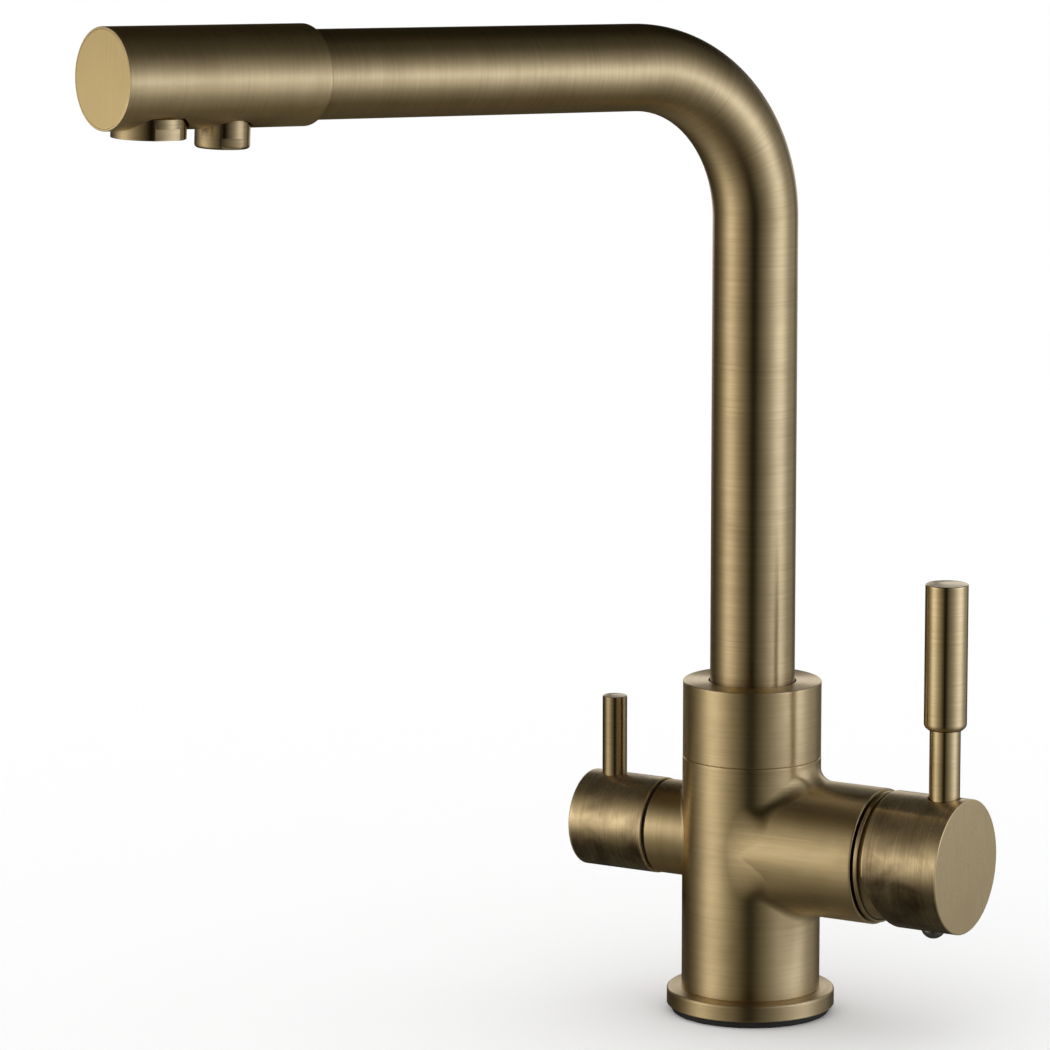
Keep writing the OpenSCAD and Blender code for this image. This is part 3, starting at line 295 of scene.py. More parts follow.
def signed_volume(mesh):
    """A sixth of the sum, over the mesh's triangles, of the first corner dotted with the cross
    product of the other two. It is above zero where the faces point outwards."""
    mesh.calc_loop_triangles()
    index = read(mesh.loop_triangles, "vertices", 3, np.int32)
    a, b, c = read(mesh.vertices, "co", 3).astype(float)[index].transpose(1, 0, 2)
    return float(np.sum(a * np.cross(b, c)) / 6)


def rounded(corners, steps=6, soft=0.3 * MM):
    """A profile with its corners rounded. Each corner is (radius from the axis, height, rounding).
    A rounded corner is an arc that starts and ends where its circle touches the two sides, the
    rounding times the cotangent of half the corner's angle away. Beside each arc lies one more
    point, so that the sides stay flat. Returns the points and their marks: rubbed on the small
    arcs, 0 elsewhere."""
    c = np.array(corners, float)
    points, marks = [], []
    closed = c[0, 0] > 0
    for i, f in enumerate(c[:, 2]):
        here = c[i, :2]
        back, ahead = c[i - 1, :2] - here, c[(i + 1) % len(c), :2] - here
        if f == 0 or (not closed and i in (0, len(c) - 1)):
            points.append(here[None])
            marks.append([0.0])
            continue
        u, v = back / np.hypot(*back), ahead / np.hypot(*ahead)
        half = math.acos(np.clip(u @ v, -1, 1)) / 2
        touch = f / math.tan(half)
        middle = (u + v) / np.hypot(*(u + v))
        centre = here + middle * f / math.sin(half)
        first, last = here + u * touch - centre, here + v * touch - centre
        w = math.acos(np.clip(first @ last / f**2, -1, 1))
        t = np.linspace(0, 1, steps + 1)[:, None]
        arc = centre + (np.sin(w * (1 - t)) * first + np.sin(w * t) * last) / math.sin(w)
        before = here + u * min(touch + soft, 0.5 * np.hypot(*back) + 0.5 * touch)
        after = here + v * min(touch + soft, 0.5 * np.hypot(*ahead) + 0.5 * touch)
        points.append(np.vstack([before, arc, after]))
        rubbed = RUBBED * (f < WIDE_ROUND)
        marks.append([0.0] + [rubbed] * (steps + 1) + [0.0])
    return np.vstack(points), np.concatenate(marks)


def grid_faces(rows, count, closed):
    """Faces between neighbouring rows of points, each row a loop of count points. A closed grid
    also joins its last row to its first."""
    i, j = np.arange(rows if closed else rows - 1)[:, None], np.arange(count)[None]
    k, up = (j + 1) % count, (i + 1) % rows
    faces = np.stack([i * count + j, i * count + k, up * count + k, up * count + j], -1)
    return faces.reshape(-1, 4)


def lathe(name, profile, place, segments=ROUND):
    """Turns a profile round the place's Z: a point at radius r and height h goes to
    (r cos a, r sin a, h) for every angle a. A profile that starts and ends on the axis gets one
    point at each pole, and any other profile closes on itself, as a ring's does."""
    line, edge = profile
    a = np.arange(segments) * TURN / segments
    poles = line[0, 0] == 0
    rings, marks = (line[1:-1], edge[1:-1]) if poles else (line, edge)
    points = np.stack([rings[:, :1] * np.cos(a), rings[:, :1] * np.sin(a),
                       np.repeat(rings[:, 1:], segments, 1)], -1).reshape(-1, 3)
    marks = np.repeat(marks, segments)
    faces = [grid_faces(len(rings), segments, not poles)]
    if poles:
        j = np.arange(segments)
        k = (j + 1) % segments
        top = (len(rings) - 1) * segments
        low, high = np.full(segments, top + segments), np.full(segments, top + segments + 1)
        faces.append(np.stack([k, j, low], -1))
        faces.append(np.stack([top + j, top + k, high], -1))
        ends = np.array([[0, 0, line[0, 1]], [0, 0, line[-1, 1]]])
        points = np.vstack([points, ends])
        marks = np.append(marks, edge[[0, -1]])
    return mesh_object(name, moved(points, place), faces, marks)


def solid(name, place, length, radius, low=0.0, high=0.0, start=0.0):
    """A round solid along the place's Z, with rounded rims."""
    end = start + length
    corners = [(0, start, 0), (radius, start, low), (radius, end, high), (0, end, 0)]
    return lathe(name, rounded(corners), place)


def cutter(place, radius, start, end, mark=0.0):
    """A plain round bar that cuts a hole and leaves its mark on the hole's wall."""
    line = np.array([(0, start), (radius, start), (radius, end), (0, end)])
    return lathe("cutter", (line, np.full(len(line), mark)), place, ROUND // 2)


def prism(place, low, high, mark=0.0):
    """A box between two corners in the place's frame, which cuts as a cutter does."""
    x, y, z = zip(low, high)
    points = np.array([(a, b, c) for c in z for b in y for a in x])
    faces = [np.array([(0, 2, 3, 1), (4, 5, 7, 6), (0, 1, 5, 4), (2, 6, 7, 3), (0, 4, 6, 2),
                       (1, 3, 7, 5)])]
    return mesh_object("cutter", moved(points, place), faces, np.full(len(points), mark))


def combine(obj, others, operation="DIFFERENCE"):
    """Cuts the other solids out of the piece, adds them to it or keeps what they share with it."""
    for other in others:
        step = obj.modifiers.new("step", "BOOLEAN")
        step.operation = operation
        step.solver = "MANIFOLD"
        step.object = other
    graph = bpy.context.evaluated_depsgraph_get()
    mesh = bpy.data.meshes.new_from_object(obj.evaluated_get(graph))
    obj.modifiers.clear()
    obj.data = mesh
    for other in others:
        bpy.data.objects.remove(other)


# Brushing: every face corner knows where it lies along and across the brush strokes. A face is an
# end face when the cosine between it and the axis passes END_FACE. The mixer arm's own strokes set
# in from a distance of ARM_STROKES_FROM, and OFF_COLUMN is clear of the column, in column radii.

END_FACE = 0.8
ARM_STROKES_FROM = 1.03
ARM_STROKES_FADE = 0.35
OFF_COLUMN = 1.005


def corner_data(mesh):
    """Places and face normals of all face corners, and for each corner its face's first corner."""
    index = read(mesh.loops, "vertex_index", kind=np.int32)
    start = read(mesh.polygons, "loop_start", kind=np.int32)
    total = read(mesh.polygons, "loop_total", kind=np.int32)
    points = read(mesh.vertices, "co", 3).astype(float)[index]
    normals = read(mesh.polygons, "normal", 3).astype(float)
    return points, np.repeat(normals, total, 0), np.repeat(start, total)


def store_strokes(obj, grain, turns, across, first):
    """Writes the pattern's coordinates, and a UV map whose U runs across the strokes, which is the
    way that brushed metal draws out a reflection. A turn that jumps from one end of the circle to
    the other within a face is carried on past the end."""
    mesh = obj.data
    turns = turns - np.round(turns - turns[first])
    layer = mesh.attributes.new("grain", "FLOAT_VECTOR", "CORNER")
    layer.data.foreach_set("vector", grain.astype(np.float32).ravel())
    uv = mesh.uv_layers.new(name="strokes")
    uv.data.foreach_set("uv", np.stack([across / MM, turns], -1).astype(np.float32).ravel())


def brush_round(obj, place, ends="turned"):
    """Strokes round the place's axis on the sides, so that they lie at one height each. Faces
    square to the axis have circles round it (turned) or upright straight strokes (upright)."""
    points, normals, first = corner_data(obj.data)
    m = np.array(place)
    axis, centre = m[:3, 2], m[:3, 3]
    level = np.cross((0, 0, 1), axis)
    level = level / np.linalg.norm(level) if np.linalg.norm(level) > 1e-6 else m[:3, 0]
    rise = np.cross(axis, level)
    d = points - centre
    along, u, v = d @ axis, d @ level, d @ rise
    r = np.hypot(u, v)
    turns = np.arctan2(v, u) / TURN
    grain = np.stack([u, v, along], -1)
    across = along.copy()
    end = np.abs(normals @ axis) > END_FACE
    if ends == "turned":
        grain[end, 2] = r[end]
        across[end] = r[end]
    else:
        grain[end] = np.stack([v, along, u], -1)[end]
        turns = turns - np.round(turns - turns[first])
        turns[end] = v[end]
        across[end] = u[end]
        first = np.arange(len(turns))
    store_strokes(obj, grain, turns, across, first)


def brush_level(obj):
    """Level strokes on the casting. Across them the pattern follows the height on the column and
    the way round the mixer arm on that arm, and it passes smoothly from one to the other with the
    distance from the column's axis. The filter arm's strokes run round that arm."""
    points, _, first = corner_data(obj.data)
    x, y, z = points.T
    reach = np.hypot(x, y) / BODY_R
    lift = np.arctan2(z - MIXER_Z, np.abs(y)) * MIXER_R + MIXER_Z
    across = z + eased((reach - ARM_STROKES_FROM) / ARM_STROKES_FADE) * (x > 0) * (lift - z)
    grain, turns = np.stack([x, y, across], -1), np.arctan2(y, x) / TURN
    off_arm = np.abs(np.hypot(y, z - FILTER_Z) - FILTER_R)
    branch = ((x < 0) & (off_arm < BODY_EDGE) & (reach > OFF_COLUMN))[first]
    grain[branch] = np.stack([y, z, x], -1)[branch]
    across[branch] = x[branch]
    turns[branch] = (np.arctan2(z - FILTER_Z, y) / TURN)[branch]
    store_strokes(obj, grain, turns, across, first)


def smooth(obj, angle=32):
    """Smooth shading, broken at edges sharper than the angle in degrees."""
    mesh = obj.data
    mesh.polygons.foreach_set("use_smooth", np.ones(len(mesh.polygons), bool))
    mesh.set_sharp_from_angle(angle=math.radians(angle))
    mesh.update()


def body_of(node):
    """The moving body that a node of the frame belongs to."""
    return frame["nodes"][node]["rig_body"]


def dress(obj, node, material):
    """Puts a finished piece in its node's place: smoothed, in the same body, with the material."""
    smooth(obj)
    obj.data.materials.clear()
    obj.data.materials.append(material)
    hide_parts(node)
    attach(obj, body_of(node))


def brush_and_dress(obj, node, place, material, ends="turned"):
    """The last steps of a turned brass piece."""
    brush_round(obj, place, ends)
    dress(obj, node, material)


# Materials

def new_material(name):
    """An empty node material with a Principled shader. Returns the tree and the shader."""
    material = bpy.data.materials.new(name)
    material.use_nodes = True
    return material, material.node_tree, material.node_tree.nodes["Principled BSDF"]


def connect(tree, made, links):
    """Each of a node's inputs gets a link from a socket, or a plain value."""
    for key, value in links.items():
        if isinstance(value, bpy.types.NodeSocket):
            tree.links.new(value, made.inputs[key])
        else:
            made.inputs[key].default_value = value
    return made


def add_node(tree, kind, links=None, **settings):
    """A shader node with its settings and its inputs."""
    made = tree.nodes.new(kind)
    for key, value in settings.items():
        setattr(made, key, value)
    return connect(tree, made, links or {})


def math_node(tree, operation, *values):
    """The result of a sum on sockets and numbers."""
    made = add_node(tree, "ShaderNodeMath", dict(enumerate(values)), operation=operation)
    return made.outputs[0]


def fitted(tree, value, low, high, to_low=0.0, to_high=1.0):
    """A value carried from one range to another, and held within it."""
    made = add_node(tree, "ShaderNodeMapRange", {"Value": value, "From Min": low, "From Max": high,
                                                 "To Min": to_low, "To Max": to_high})
    return made.outputs["Result"]


def mixed(tree, share, a, b):
    """A colour between two colours."""
    made = add_node(tree, "ShaderNodeMix", {0: share, 6: a, 7: b}, data_type="RGBA")
    return made.outputs[2]


def object_place(tree):
    """Object coordinates."""
    return add_node(tree, "ShaderNodeTexCoord").outputs["Object"]


def group(name, inputs, outputs):
    """A node group with named sockets. Each input is (name, type, default)."""
    tree = bpy.data.node_groups.new(name, "ShaderNodeTree")
    for label, kind, default in inputs:
        socket = tree.interface.new_socket(label, in_out="INPUT", socket_type="NodeSocket" + kind)
        if default is not None:
            socket.default_value = default
    for label, kind in outputs:
        tree.interface.new_socket(label, in_out="OUTPUT", socket_type="NodeSocket" + kind)
    return tree, tree.nodes.new("NodeGroupInput"), tree.nodes.new("NodeGroupOutput")


def stroke_group():
    """Brush strokes: noise drawn out along the strokes and tight across them, in two widths."""
    tree, given, out = group(
        "Brush strokes", [("Grain", "Vector", None), ("Width", "Float", 0.22),
                          ("Length", "Float", 16.0)], [("Fine", "Float"), ("Broad", "Float")])
    thin = math_node(tree, "DIVIDE", 1000, given.outputs["Width"])
    long = math_node(tree, "DIVIDE", 1000, given.outputs["Length"])
    for label, slow, detail in (("Fine", 1.0, 2.0), ("Broad", 0.22, 3.0)):
        x = math_node(tree, "MULTIPLY", long, slow)
        z = math_node(tree, "MULTIPLY", thin, slow)
        scale = add_node(tree, "ShaderNodeCombineXYZ", {"X": x, "Y": x, "Z": z}).outputs[0]
        spread = add_node(tree, "ShaderNodeVectorMath", {0: given.outputs["Grain"], 1: scale},
                          operation="MULTIPLY")
        noise = add_node(tree, "ShaderNodeTexNoise", {"Vector": spread.outputs[0], "Scale": 1.0,
                                                      "Detail": detail, "Roughness": 0.6})
        tree.links.new(noise.outputs["Fac"], out.inputs[label])
    return tree


def patina_group():
    """Darkening left in the metal: large soft clouds with finer clouds inside them."""
    tree, given, out = group("Patina", [("Vector", "Vector", None), ("Size", "Float", 14.0)],
                             [("Mask", "Float")])
    scale = math_node(tree, "DIVIDE", 1000, given.outputs["Size"])
    clouds = add_node(tree, "ShaderNodeTexNoise", {
        "Vector": given.outputs["Vector"], "Scale": scale, "Detail": 4.0, "Roughness": 0.55,
        "Distortion": 0.4})
    tree.links.new(fitted(tree, clouds.outputs["Fac"], 0.42, 0.66), out.inputs["Mask"])
    return tree


def speck_group():
    """Fine dust and pits: a cell pattern whose cells show only near their middles."""
    tree, given, out = group("Specks", [("Vector", "Vector", None), ("Size", "Float", 1.2),
                                        ("Share", "Float", 0.1)], [("Mask", "Float")])
    scale = math_node(tree, "DIVIDE", 1000, given.outputs["Size"])
    cells = add_node(tree, "ShaderNodeTexVoronoi", {"Vector": given.outputs["Vector"],
                                                    "Scale": scale, "Randomness": 1.0})
    near = fitted(tree, cells.outputs["Distance"], 0.0, 0.25, 1.0, 0.0)
    picked = math_node(tree, "LESS_THAN", cells.outputs["Color"], given.outputs["Share"])
    tree.links.new(math_node(tree, "MULTIPLY", near, picked), out.inputs["Mask"])
    return tree


STROKES = stroke_group()
PATINA = patina_group()
SPECKS = speck_group()


def placed_group(tree, inner, **values):
    """One use of a node group with its own values."""
    return add_node(tree, "ShaderNodeGroup", values, node_tree=inner)


def antique_brass(name, bright, brown, patina, rough=0.33, contrast=1.0, size=14.0, metal=1.0):
    """Brushed brass darkened by a brown patina. The strokes and the clouds of patina mix the two
    colours, the edges are rubbed bright, marks below zero paint shade, browner and towards near
    black in grooves, gaps and hollows, and the strokes vary the gloss and stand in relief. Where
    metal is below 1, the patina covers the brass like a dull skin."""
    stroke_share, rubbed_off, duller = 0.2 * contrast, 0.75, 0.06
    material, tree, shader = new_material(name)
    grain = add_node(tree, "ShaderNodeAttribute", attribute_name="grain").outputs["Vector"]
    edge = add_node(tree, "ShaderNodeAttribute", attribute_name="edge").outputs["Fac"]
    strokes = placed_group(tree, STROKES, Grain=grain)
    fine, broad = strokes.outputs["Fine"], strokes.outputs["Broad"]
    clouds = placed_group(tree, PATINA, Vector=object_place(tree), Size=size).outputs["Mask"]
    lines = math_node(tree, "ADD", fitted(tree, broad, 0.35, 0.68, 0.0, stroke_share),
                      fitted(tree, fine, 0.3, 0.72, 0.0, stroke_share))
    cloud = math_node(tree, "MULTIPLY", clouds, patina)
    dark = math_node(tree, "ADD", lines, cloud)
    kept = math_node(tree, "SUBTRACT", 1.0, math_node(tree, "MULTIPLY", edge, rubbed_off))
    share = fitted(tree, math_node(tree, "MULTIPLY", dark, kept), 0.0, 1.0)
    # Painted shade: marks below zero take the colour towards near black
    recess_shade = fitted(tree, edge, PAINTED_GAP_SHADE, 0.0, 1.0, 0.0)
    colour = mixed(tree, recess_shade, mixed(tree, share, (*bright, 1), (*brown, 1)), (*PAINTED_SHADE_BLACK, 1))
    gloss = math_node(tree, "ADD", fitted(tree, fine, 0.3, 0.7, rough, rough + duller),
                      math_node(tree, "MULTIPLY", cloud, duller))
    relief = add_node(tree, "ShaderNodeBump", {"Strength": 0.05, "Distance": SKIN_DEPTH,
                                               "Height": fine})
    tangent = add_node(tree, "ShaderNodeTangent", direction_type="UV_MAP", uv_map="strokes")
    connect(tree, shader, {"Base Color": colour, "Roughness": gloss, "Normal": relief.outputs[0],
                           "Tangent": tangent.outputs[0], "Metallic": metal, "Anisotropic": 0.95})
    return material


def plain_metal(name, colour, rough, tint=0.12):
    """Turned or polished metal with faint clouds in its colour and gloss."""
    material, tree, shader = new_material(name)
    clouds = placed_group(tree, PATINA, Vector=object_place(tree), Size=6.0).outputs["Mask"]
    dull = tuple(c * (1 - tint) for c in colour)
    connect(tree, shader, {"Base Color": mixed(tree, clouds, (*colour, 1), (*dull, 1)),
                           "Roughness": fitted(tree, clouds, 0, 1, rough, rough * 1.5),
                           "Metallic": 1.0})
    return material


def moulded(name, colour, rough, relief=0.1):
    """Moulded rubber, plastic or fired ceramic: a matt skin with fine relief and a few specks."""
    size, tint = 0.6, 0.15
    material, tree, shader = new_material(name)
    place = object_place(tree)
    specks = placed_group(tree, SPECKS, Vector=place, Size=size, Share=0.18).outputs["Mask"]
    clouds = placed_group(tree, PATINA, Vector=place, Size=8.0).outputs["Mask"]
    worn = tuple(min(1.0, c * (1 - tint) + 0.01) for c in colour)
    share = fitted(tree, math_node(tree, "ADD", clouds, specks), 0, 2)
    skin_noise = add_node(tree, "ShaderNodeTexNoise", {"Vector": place, "Scale": 1000 / size,
                                                       "Detail": 2.0})
    grain = add_node(tree, "ShaderNodeBump", {"Strength": relief, "Distance": SKIN_DEPTH,
                                              "Height": skin_noise.outputs["Fac"]})
    connect(tree, shader, {"Base Color": mixed(tree, share, (*colour, 1), (*worn, 1)),
                           "Roughness": fitted(tree, clouds, 0, 1, rough, min(1.0, rough * 1.2)),
                           "Normal": grain.outputs[0]})
    return material


BRIGHT = (0.67, 0.52, 0.295)
BROWN = (0.33, 0.235, 0.115)
# Near black painted into grooves, gaps and hollows as shade
PAINTED_SHADE_BLACK = (0.03, 0.022, 0.012)
BRASS = antique_brass("antique_brass_brushed", BRIGHT, BROWN, patina=0.16)
HANDLED = antique_brass("antique_brass_handled", (0.74, 0.575, 0.33), (0.19, 0.125, 0.06),
                        patina=0.5, rough=0.25, contrast=0.8, size=11.0, metal=0.95)
CAST = antique_brass("antique_brass_cast", (0.76, 0.592, 0.335), BROWN, patina=0.16, rough=0.35,
                     contrast=0.65)
LEVER = antique_brass("antique_brass_lever", (0.64, 0.5, 0.28), BROWN, patina=0.16, rough=0.2)
# A darker copy of the brass: painted shade for the nozzles under the head, also used on the filter
# rod
SHADED_BRASS = antique_brass("antique_brass_shaded", (0.45, 0.345, 0.19), (0.22, 0.155, 0.075), patina=0.2,
                     rough=0.22)
# A lighter copy of the brass with little patina: painted light on the end cap's face
FACE = antique_brass("antique_brass_face", (0.71, 0.545, 0.27), (0.5, 0.37, 0.175), patina=0.1,
                     rough=0.3, contrast=0.7)
RAW = plain_metal("turned_brass", (0.72, 0.55, 0.27), 0.25)
RUBBER = moulded("black_rubber_skin", (0.008, 0.008, 0.008), 0.6)
PLASTIC = moulded("white_moulding", (0.78, 0.78, 0.74), 0.4)
CERAMIC = moulded("fired_ceramic", (0.86, 0.84, 0.78), 0.22, relief=0.03)
STEEL = plain_metal("turned_steel", (0.56, 0.56, 0.55), 0.28)
# Darker than real chrome: painted shade standing in for the screw's dark reflections
CHROME = plain_metal("polished_chrome", (0.3, 0.305, 0.31), 0.07, tint=0.05)
FINISH = {"antique_brass": BRASS, "raw_brass": RAW, "black_rubber": RUBBER,
          "white_plastic": PLASTIC, "ceramic": CERAMIC, "steel": STEEL, "chrome": CHROME}


# Pieces

def roll_centre(side, arm_r, arm_z, f, a):
    """Centre of a ball of radius f that rolls between the column and an arm, at angle a round the
    arm, 0 at the front and a quarter turn on top: it lies f outside the column's side and f outside
    the arm's."""
    reach = arm_r + f
    return np.stack([side * np.sqrt((BODY_R + f) ** 2 - (reach * np.cos(a)) ** 2),
                     -reach * np.cos(a), arm_z + reach * np.sin(a)], -1)


def arm_rows(side, arm_r, arm_z, arm_x, f, rows, steps=20):
    """Rows of skin round an arm. Each runs across the fillet on the rolling ball, from where it
    touches the column to where it touches the arm, then along the arm and round its end's edge."""
    a = np.arange(rows) * TURN / rows
    f = f(a)
    c = roll_centre(side, arm_r, arm_z, f, a)
    out = c * (1, 1, 0)
    to_column = -out / np.linalg.norm(out, axis=1, keepdims=True)
    to_arm = np.stack([0 * a, np.cos(a), -np.sin(a)], -1)
    w = np.arccos(np.sum(to_column * to_arm, 1))[:, None, None]
    t = np.linspace(0, 1, steps + 1)[None, :, None]
    bend = np.sin(w * (1 - t)) * to_column[:, None] + np.sin(w * t) * to_arm[:, None]
    fillet = c[:, None] + f[:, None, None] * bend / np.sin(w)
    x, r = arm_x + EDGE_ALONG, arm_r + EDGE_IN
    end = np.stack([side * x + 0 * a[:, None], -r * np.cos(a)[:, None],
                    arm_z + r * np.sin(a)[:, None]], -1)
    mark = np.append(np.zeros(steps + 1), EDGE_MARK)
    return np.concatenate([fillet, end], 1), np.broadcast_to(mark, (rows, len(mark)))


def mixer_fillet(a):
    """Fillet radius at angle a round the mixer arm: between the top one and the one underneath, and
    far larger at the front and back, where the two round sides nearly touch and are dressed as
    one."""
    return ((TOP_FILLET + UNDER_FILLET) / 2 + (TOP_FILLET - UNDER_FILLET) / 2 * np.sin(a)
            + FLANK_FILLET * np.cos(a) ** FLANK_POWER)


# A rubbed edge of the casting: how far its points lie along the side and in from it
CORNER = np.linspace(0, math.pi / 2, 5)
EDGE_ALONG = BODY_EDGE * np.concatenate([[-3], np.sin(CORNER) - 1, [0]])
EDGE_IN = BODY_EDGE * np.concatenate([[0], np.cos(CORNER) - 1, [-3]])
EDGE_MARK = np.concatenate([[0], np.full(len(CORNER), RUBBED), [0]])


def skin():
    """The casting's outer skin. Two sets of rows wrap the arms, and rings of points at the same
    headings as the rows' first points close the column below and above them. Between the arms the
    column is a strip of upright faces."""
    many, few, strip = 192, 128, 40
    mixer, mixer_mark = arm_rows(1, MIXER_R, MIXER_Z, MIXER_X, mixer_fillet, many)
    branch, branch_mark = arm_rows(-1, FILTER_R, FILTER_Z, FILTER_X,
                                   lambda a: FILTER_FILLET + 0 * a, few)
    width = mixer.shape[1]

    def headings(up):
        """Headings round the column from the mixer arm's front: past that arm, the strip behind,
        past the filter arm and the strip in front."""
        i = up * np.arange(many // 2 + 1)
        m = np.arctan2(mixer[:, 0, 1], mixer[:, 0, 0])[i]
        i = (few // 2 - up * np.arange(few // 2 + 1)) % few
        b = np.arctan2(branch[:, 0, 1], branch[:, 0, 0])[i] % TURN
        t = np.arange(1, strip) / strip
        return np.concatenate([m, m[-1] + (b[0] - m[-1]) * t, b, b[-1] + (m[0] + TURN - b[-1]) * t])

    low_r, low_z = BODY_R + EDGE_ALONG, BODY_Z - EDGE_IN
    high_r, high_z = low_r[::-1], BODY_Z + SEAM_Z - low_z[::-1]

    def rings(up, r, z):
        """Rings of points at the headings, one for each radius and height."""
        h = headings(up)
        return np.stack([r[:, None] * np.cos(h), r[:, None] * np.sin(h), z[:, None] + 0 * h], -1)

    low, high = rings(-1, low_r, low_z), rings(1, high_r, high_z)
    count, levels = low.shape[1], low.shape[0]
    branch_at = many * width
    low_at = branch_at + few * width
    high_at = low_at + levels * count

    # Where a point stands in the joined array, by its row or level and its place in that
    def at_mixer(i, k=0):
        return (i % many) * width + k

    def at_branch(i, k=0):
        return branch_at + (i % few) * width + k

    def at_low(level, j):
        return low_at + level * count + j % count

    def at_high(level, j):
        return high_at + level * count + j % count

    def quads(a, b, c, d):
        """Faces from four arrays of corners."""
        return np.stack(np.broadcast_arrays(a, b, c, d), -1).reshape(-1, 4)

    # The arms' own skin, from the column to the end's edge
    i, k = np.arange(many)[:, None], np.arange(width - 1)[None]
    faces = [quads(at_mixer(i, k), at_mixer(i + 1, k), at_mixer(i + 1, k + 1), at_mixer(i, k + 1))]
    i = np.arange(few)[:, None]
    faces.append(quads(at_branch(i, k), at_branch(i, k + 1), at_branch(i + 1, k + 1),
                       at_branch(i + 1, k)))
    # The column below and above each arm, between the arm and the ring nearest to it
    foot, head = levels - 1, 0
    j = np.arange(many // 2)
    faces.append(quads(at_low(foot, j), at_mixer(-j), at_mixer(-j - 1), at_low(foot, j + 1)))
    faces.append(quads(at_mixer(j), at_high(head, j), at_high(head, j + 1), at_mixer(j + 1)))
    j = np.arange(few // 2)
    n = many // 2 + strip
    faces.append(quads(at_low(foot, n + j), at_branch(few // 2 + j), at_branch(few // 2 + j + 1),
                       at_low(foot, n + j + 1)))
    faces.append(quads(at_branch(few // 2 - j), at_high(head, n + j), at_high(head, n + j + 1),
                       at_branch(few // 2 - j - 1)))
    # The strips between the arms. Their outermost faces also take in a point of the arm
    for n, left, right in ((many // 2, at_mixer(many // 2), at_branch(few // 2)),
                           (many // 2 + strip + few // 2, at_branch(0), at_mixer(0))):
        j = n + np.arange(1, strip - 1)
        faces.append(quads(at_low(foot, j), at_high(head, j), at_high(head, j + 1),
                           at_low(foot, j + 1)))
        last = n + strip - 1
        faces.append(np.array([[at_low(foot, n), left, at_high(head, n), at_high(head, n + 1),
                                at_low(foot, n + 1)],
                               [at_low(foot, last), at_high(head, last), at_high(head, last + 1),
                                right, at_low(foot, last + 1)]]))
    # The column's own edges, and the flat ends of the column and the arms
    level, j = np.arange(levels - 1)[:, None], np.arange(count)[None]
    for at in (at_low, at_high):
        faces.append(quads(at(level, j), at(level + 1, j), at(level + 1, j + 1), at(level, j + 1)))
    j = np.arange(count)
    faces.append(at_low(0, j)[None])
    faces.append(at_high(levels - 1, j[::-1])[None])
    faces.append(at_mixer(np.arange(many), width - 1)[None])
    faces.append(at_branch(-np.arange(few), width - 1)[None])
    points = np.concatenate([p.reshape(-1, 3) for p in (mixer, branch, low, high)])
    marks = np.concatenate([mixer_mark.ravel(), branch_mark.ravel(), np.repeat(EDGE_MARK, count),
                            np.repeat(EDGE_MARK, count)])
    return mesh_object("body_casting_skin", points, faces, marks)


def body_casting():
    """Skin with spigot and neck, and its ports, passages, chambers and swivel socket cut out."""
    body = skin()
    spigot = solid("spigot", UPRIGHT, BODY_Z + OVERRUN - SPIGOT_Z, SPIGOT_R, BODY_EDGE, 0, SPIGOT_Z)
    neck = solid("neck", UPRIGHT, NECK_TOP - SEAM_Z + OVERRUN, NECK_R, 0, NECK_EDGE,
                 SEAM_Z - OVERRUN)
    combine(body, [spigot, neck], "UNION")
    tools = [cutter(UPRIGHT, STUD_R, SPIGOT_Z - OVERRUN, SPIGOT_Z + STUD_DEPTH),
             cutter(UPRIGHT, SOCKET_R, SOCKET_Z, NECK_TOP + OVERRUN),
             cutter(MIXER, CHAMBER_R, CHAMBER_X, MIXER_X + OVERRUN),
             cutter(MIXER, NUT_R, MIXER_X - NUT_LEN, MIXER_X + OVERRUN),
             cutter(FILTER, VALVE_R, VALVE_X, FILTER_X + OVERRUN),
             cutter(FILTER, RECESS_R, FILTER_X - RECESS_DEPTH, FILTER_X + OVERRUN),
             cutter(UPRIGHT, PIPE_HOLE_R, PIPE_HOLE_Z, SOCKET_Z + OVERRUN)]
    for a in (-PORT_ANGLE, PORT_ANGLE, math.pi):
        port = standing(PORT_OFFSET * math.cos(a), PORT_OFFSET * math.sin(a))
        tools.append(cutter(port, PORT_R, SPIGOT_Z - OVERRUN, SPIGOT_Z + PORT_DEPTH))
        tools.append(cutter(port, PASSAGE_R, SPIGOT_Z + PORT_DEPTH - OVERRUN, MIXER_Z))
    combine(body, tools)
    brush_level(body)
    dress(body, "body_casting", CAST)


def base_ring():
    """The base plate, hollow underneath for the gasket."""
    low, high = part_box("base_ring")
    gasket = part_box("base_gasket")[1]
    bore, seat = SPIGOT_R + FIT, gasket.z + FIT
    corners = [(bore, low.z, EDGE), (RING_HOLLOW_R, low.z, 0), (RING_HOLLOW_R, seat, 0),
               (gasket.x + FIT, seat, 0), (gasket.x + FIT, low.z, 0),
               (high.x, low.z, RING_FOOT_EDGE), (high.x, high.z, RING_ROUND), (bore, high.z, EDGE)]
    obj = lathe("base_ring_turned", rounded(corners), UPRIGHT)
    brush_and_dress(obj, "base_ring", UPRIGHT, BRASS)


def base_gasket():
    """The rubber ring that the base ring stands on."""
    low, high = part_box("base_gasket")
    foot, lip, top = 0.3 * MM, 0.45 * MM, 0.2 * MM
    corners = [(GASKET_BORE_R, low.z, foot), (high.x, low.z, lip), (high.x, high.z, top),
               (GASKET_BORE_R, high.z, top)]
    obj = lathe("base_gasket_rubber", rounded(corners), UPRIGHT)
    dress(obj, "base_gasket", RUBBER)


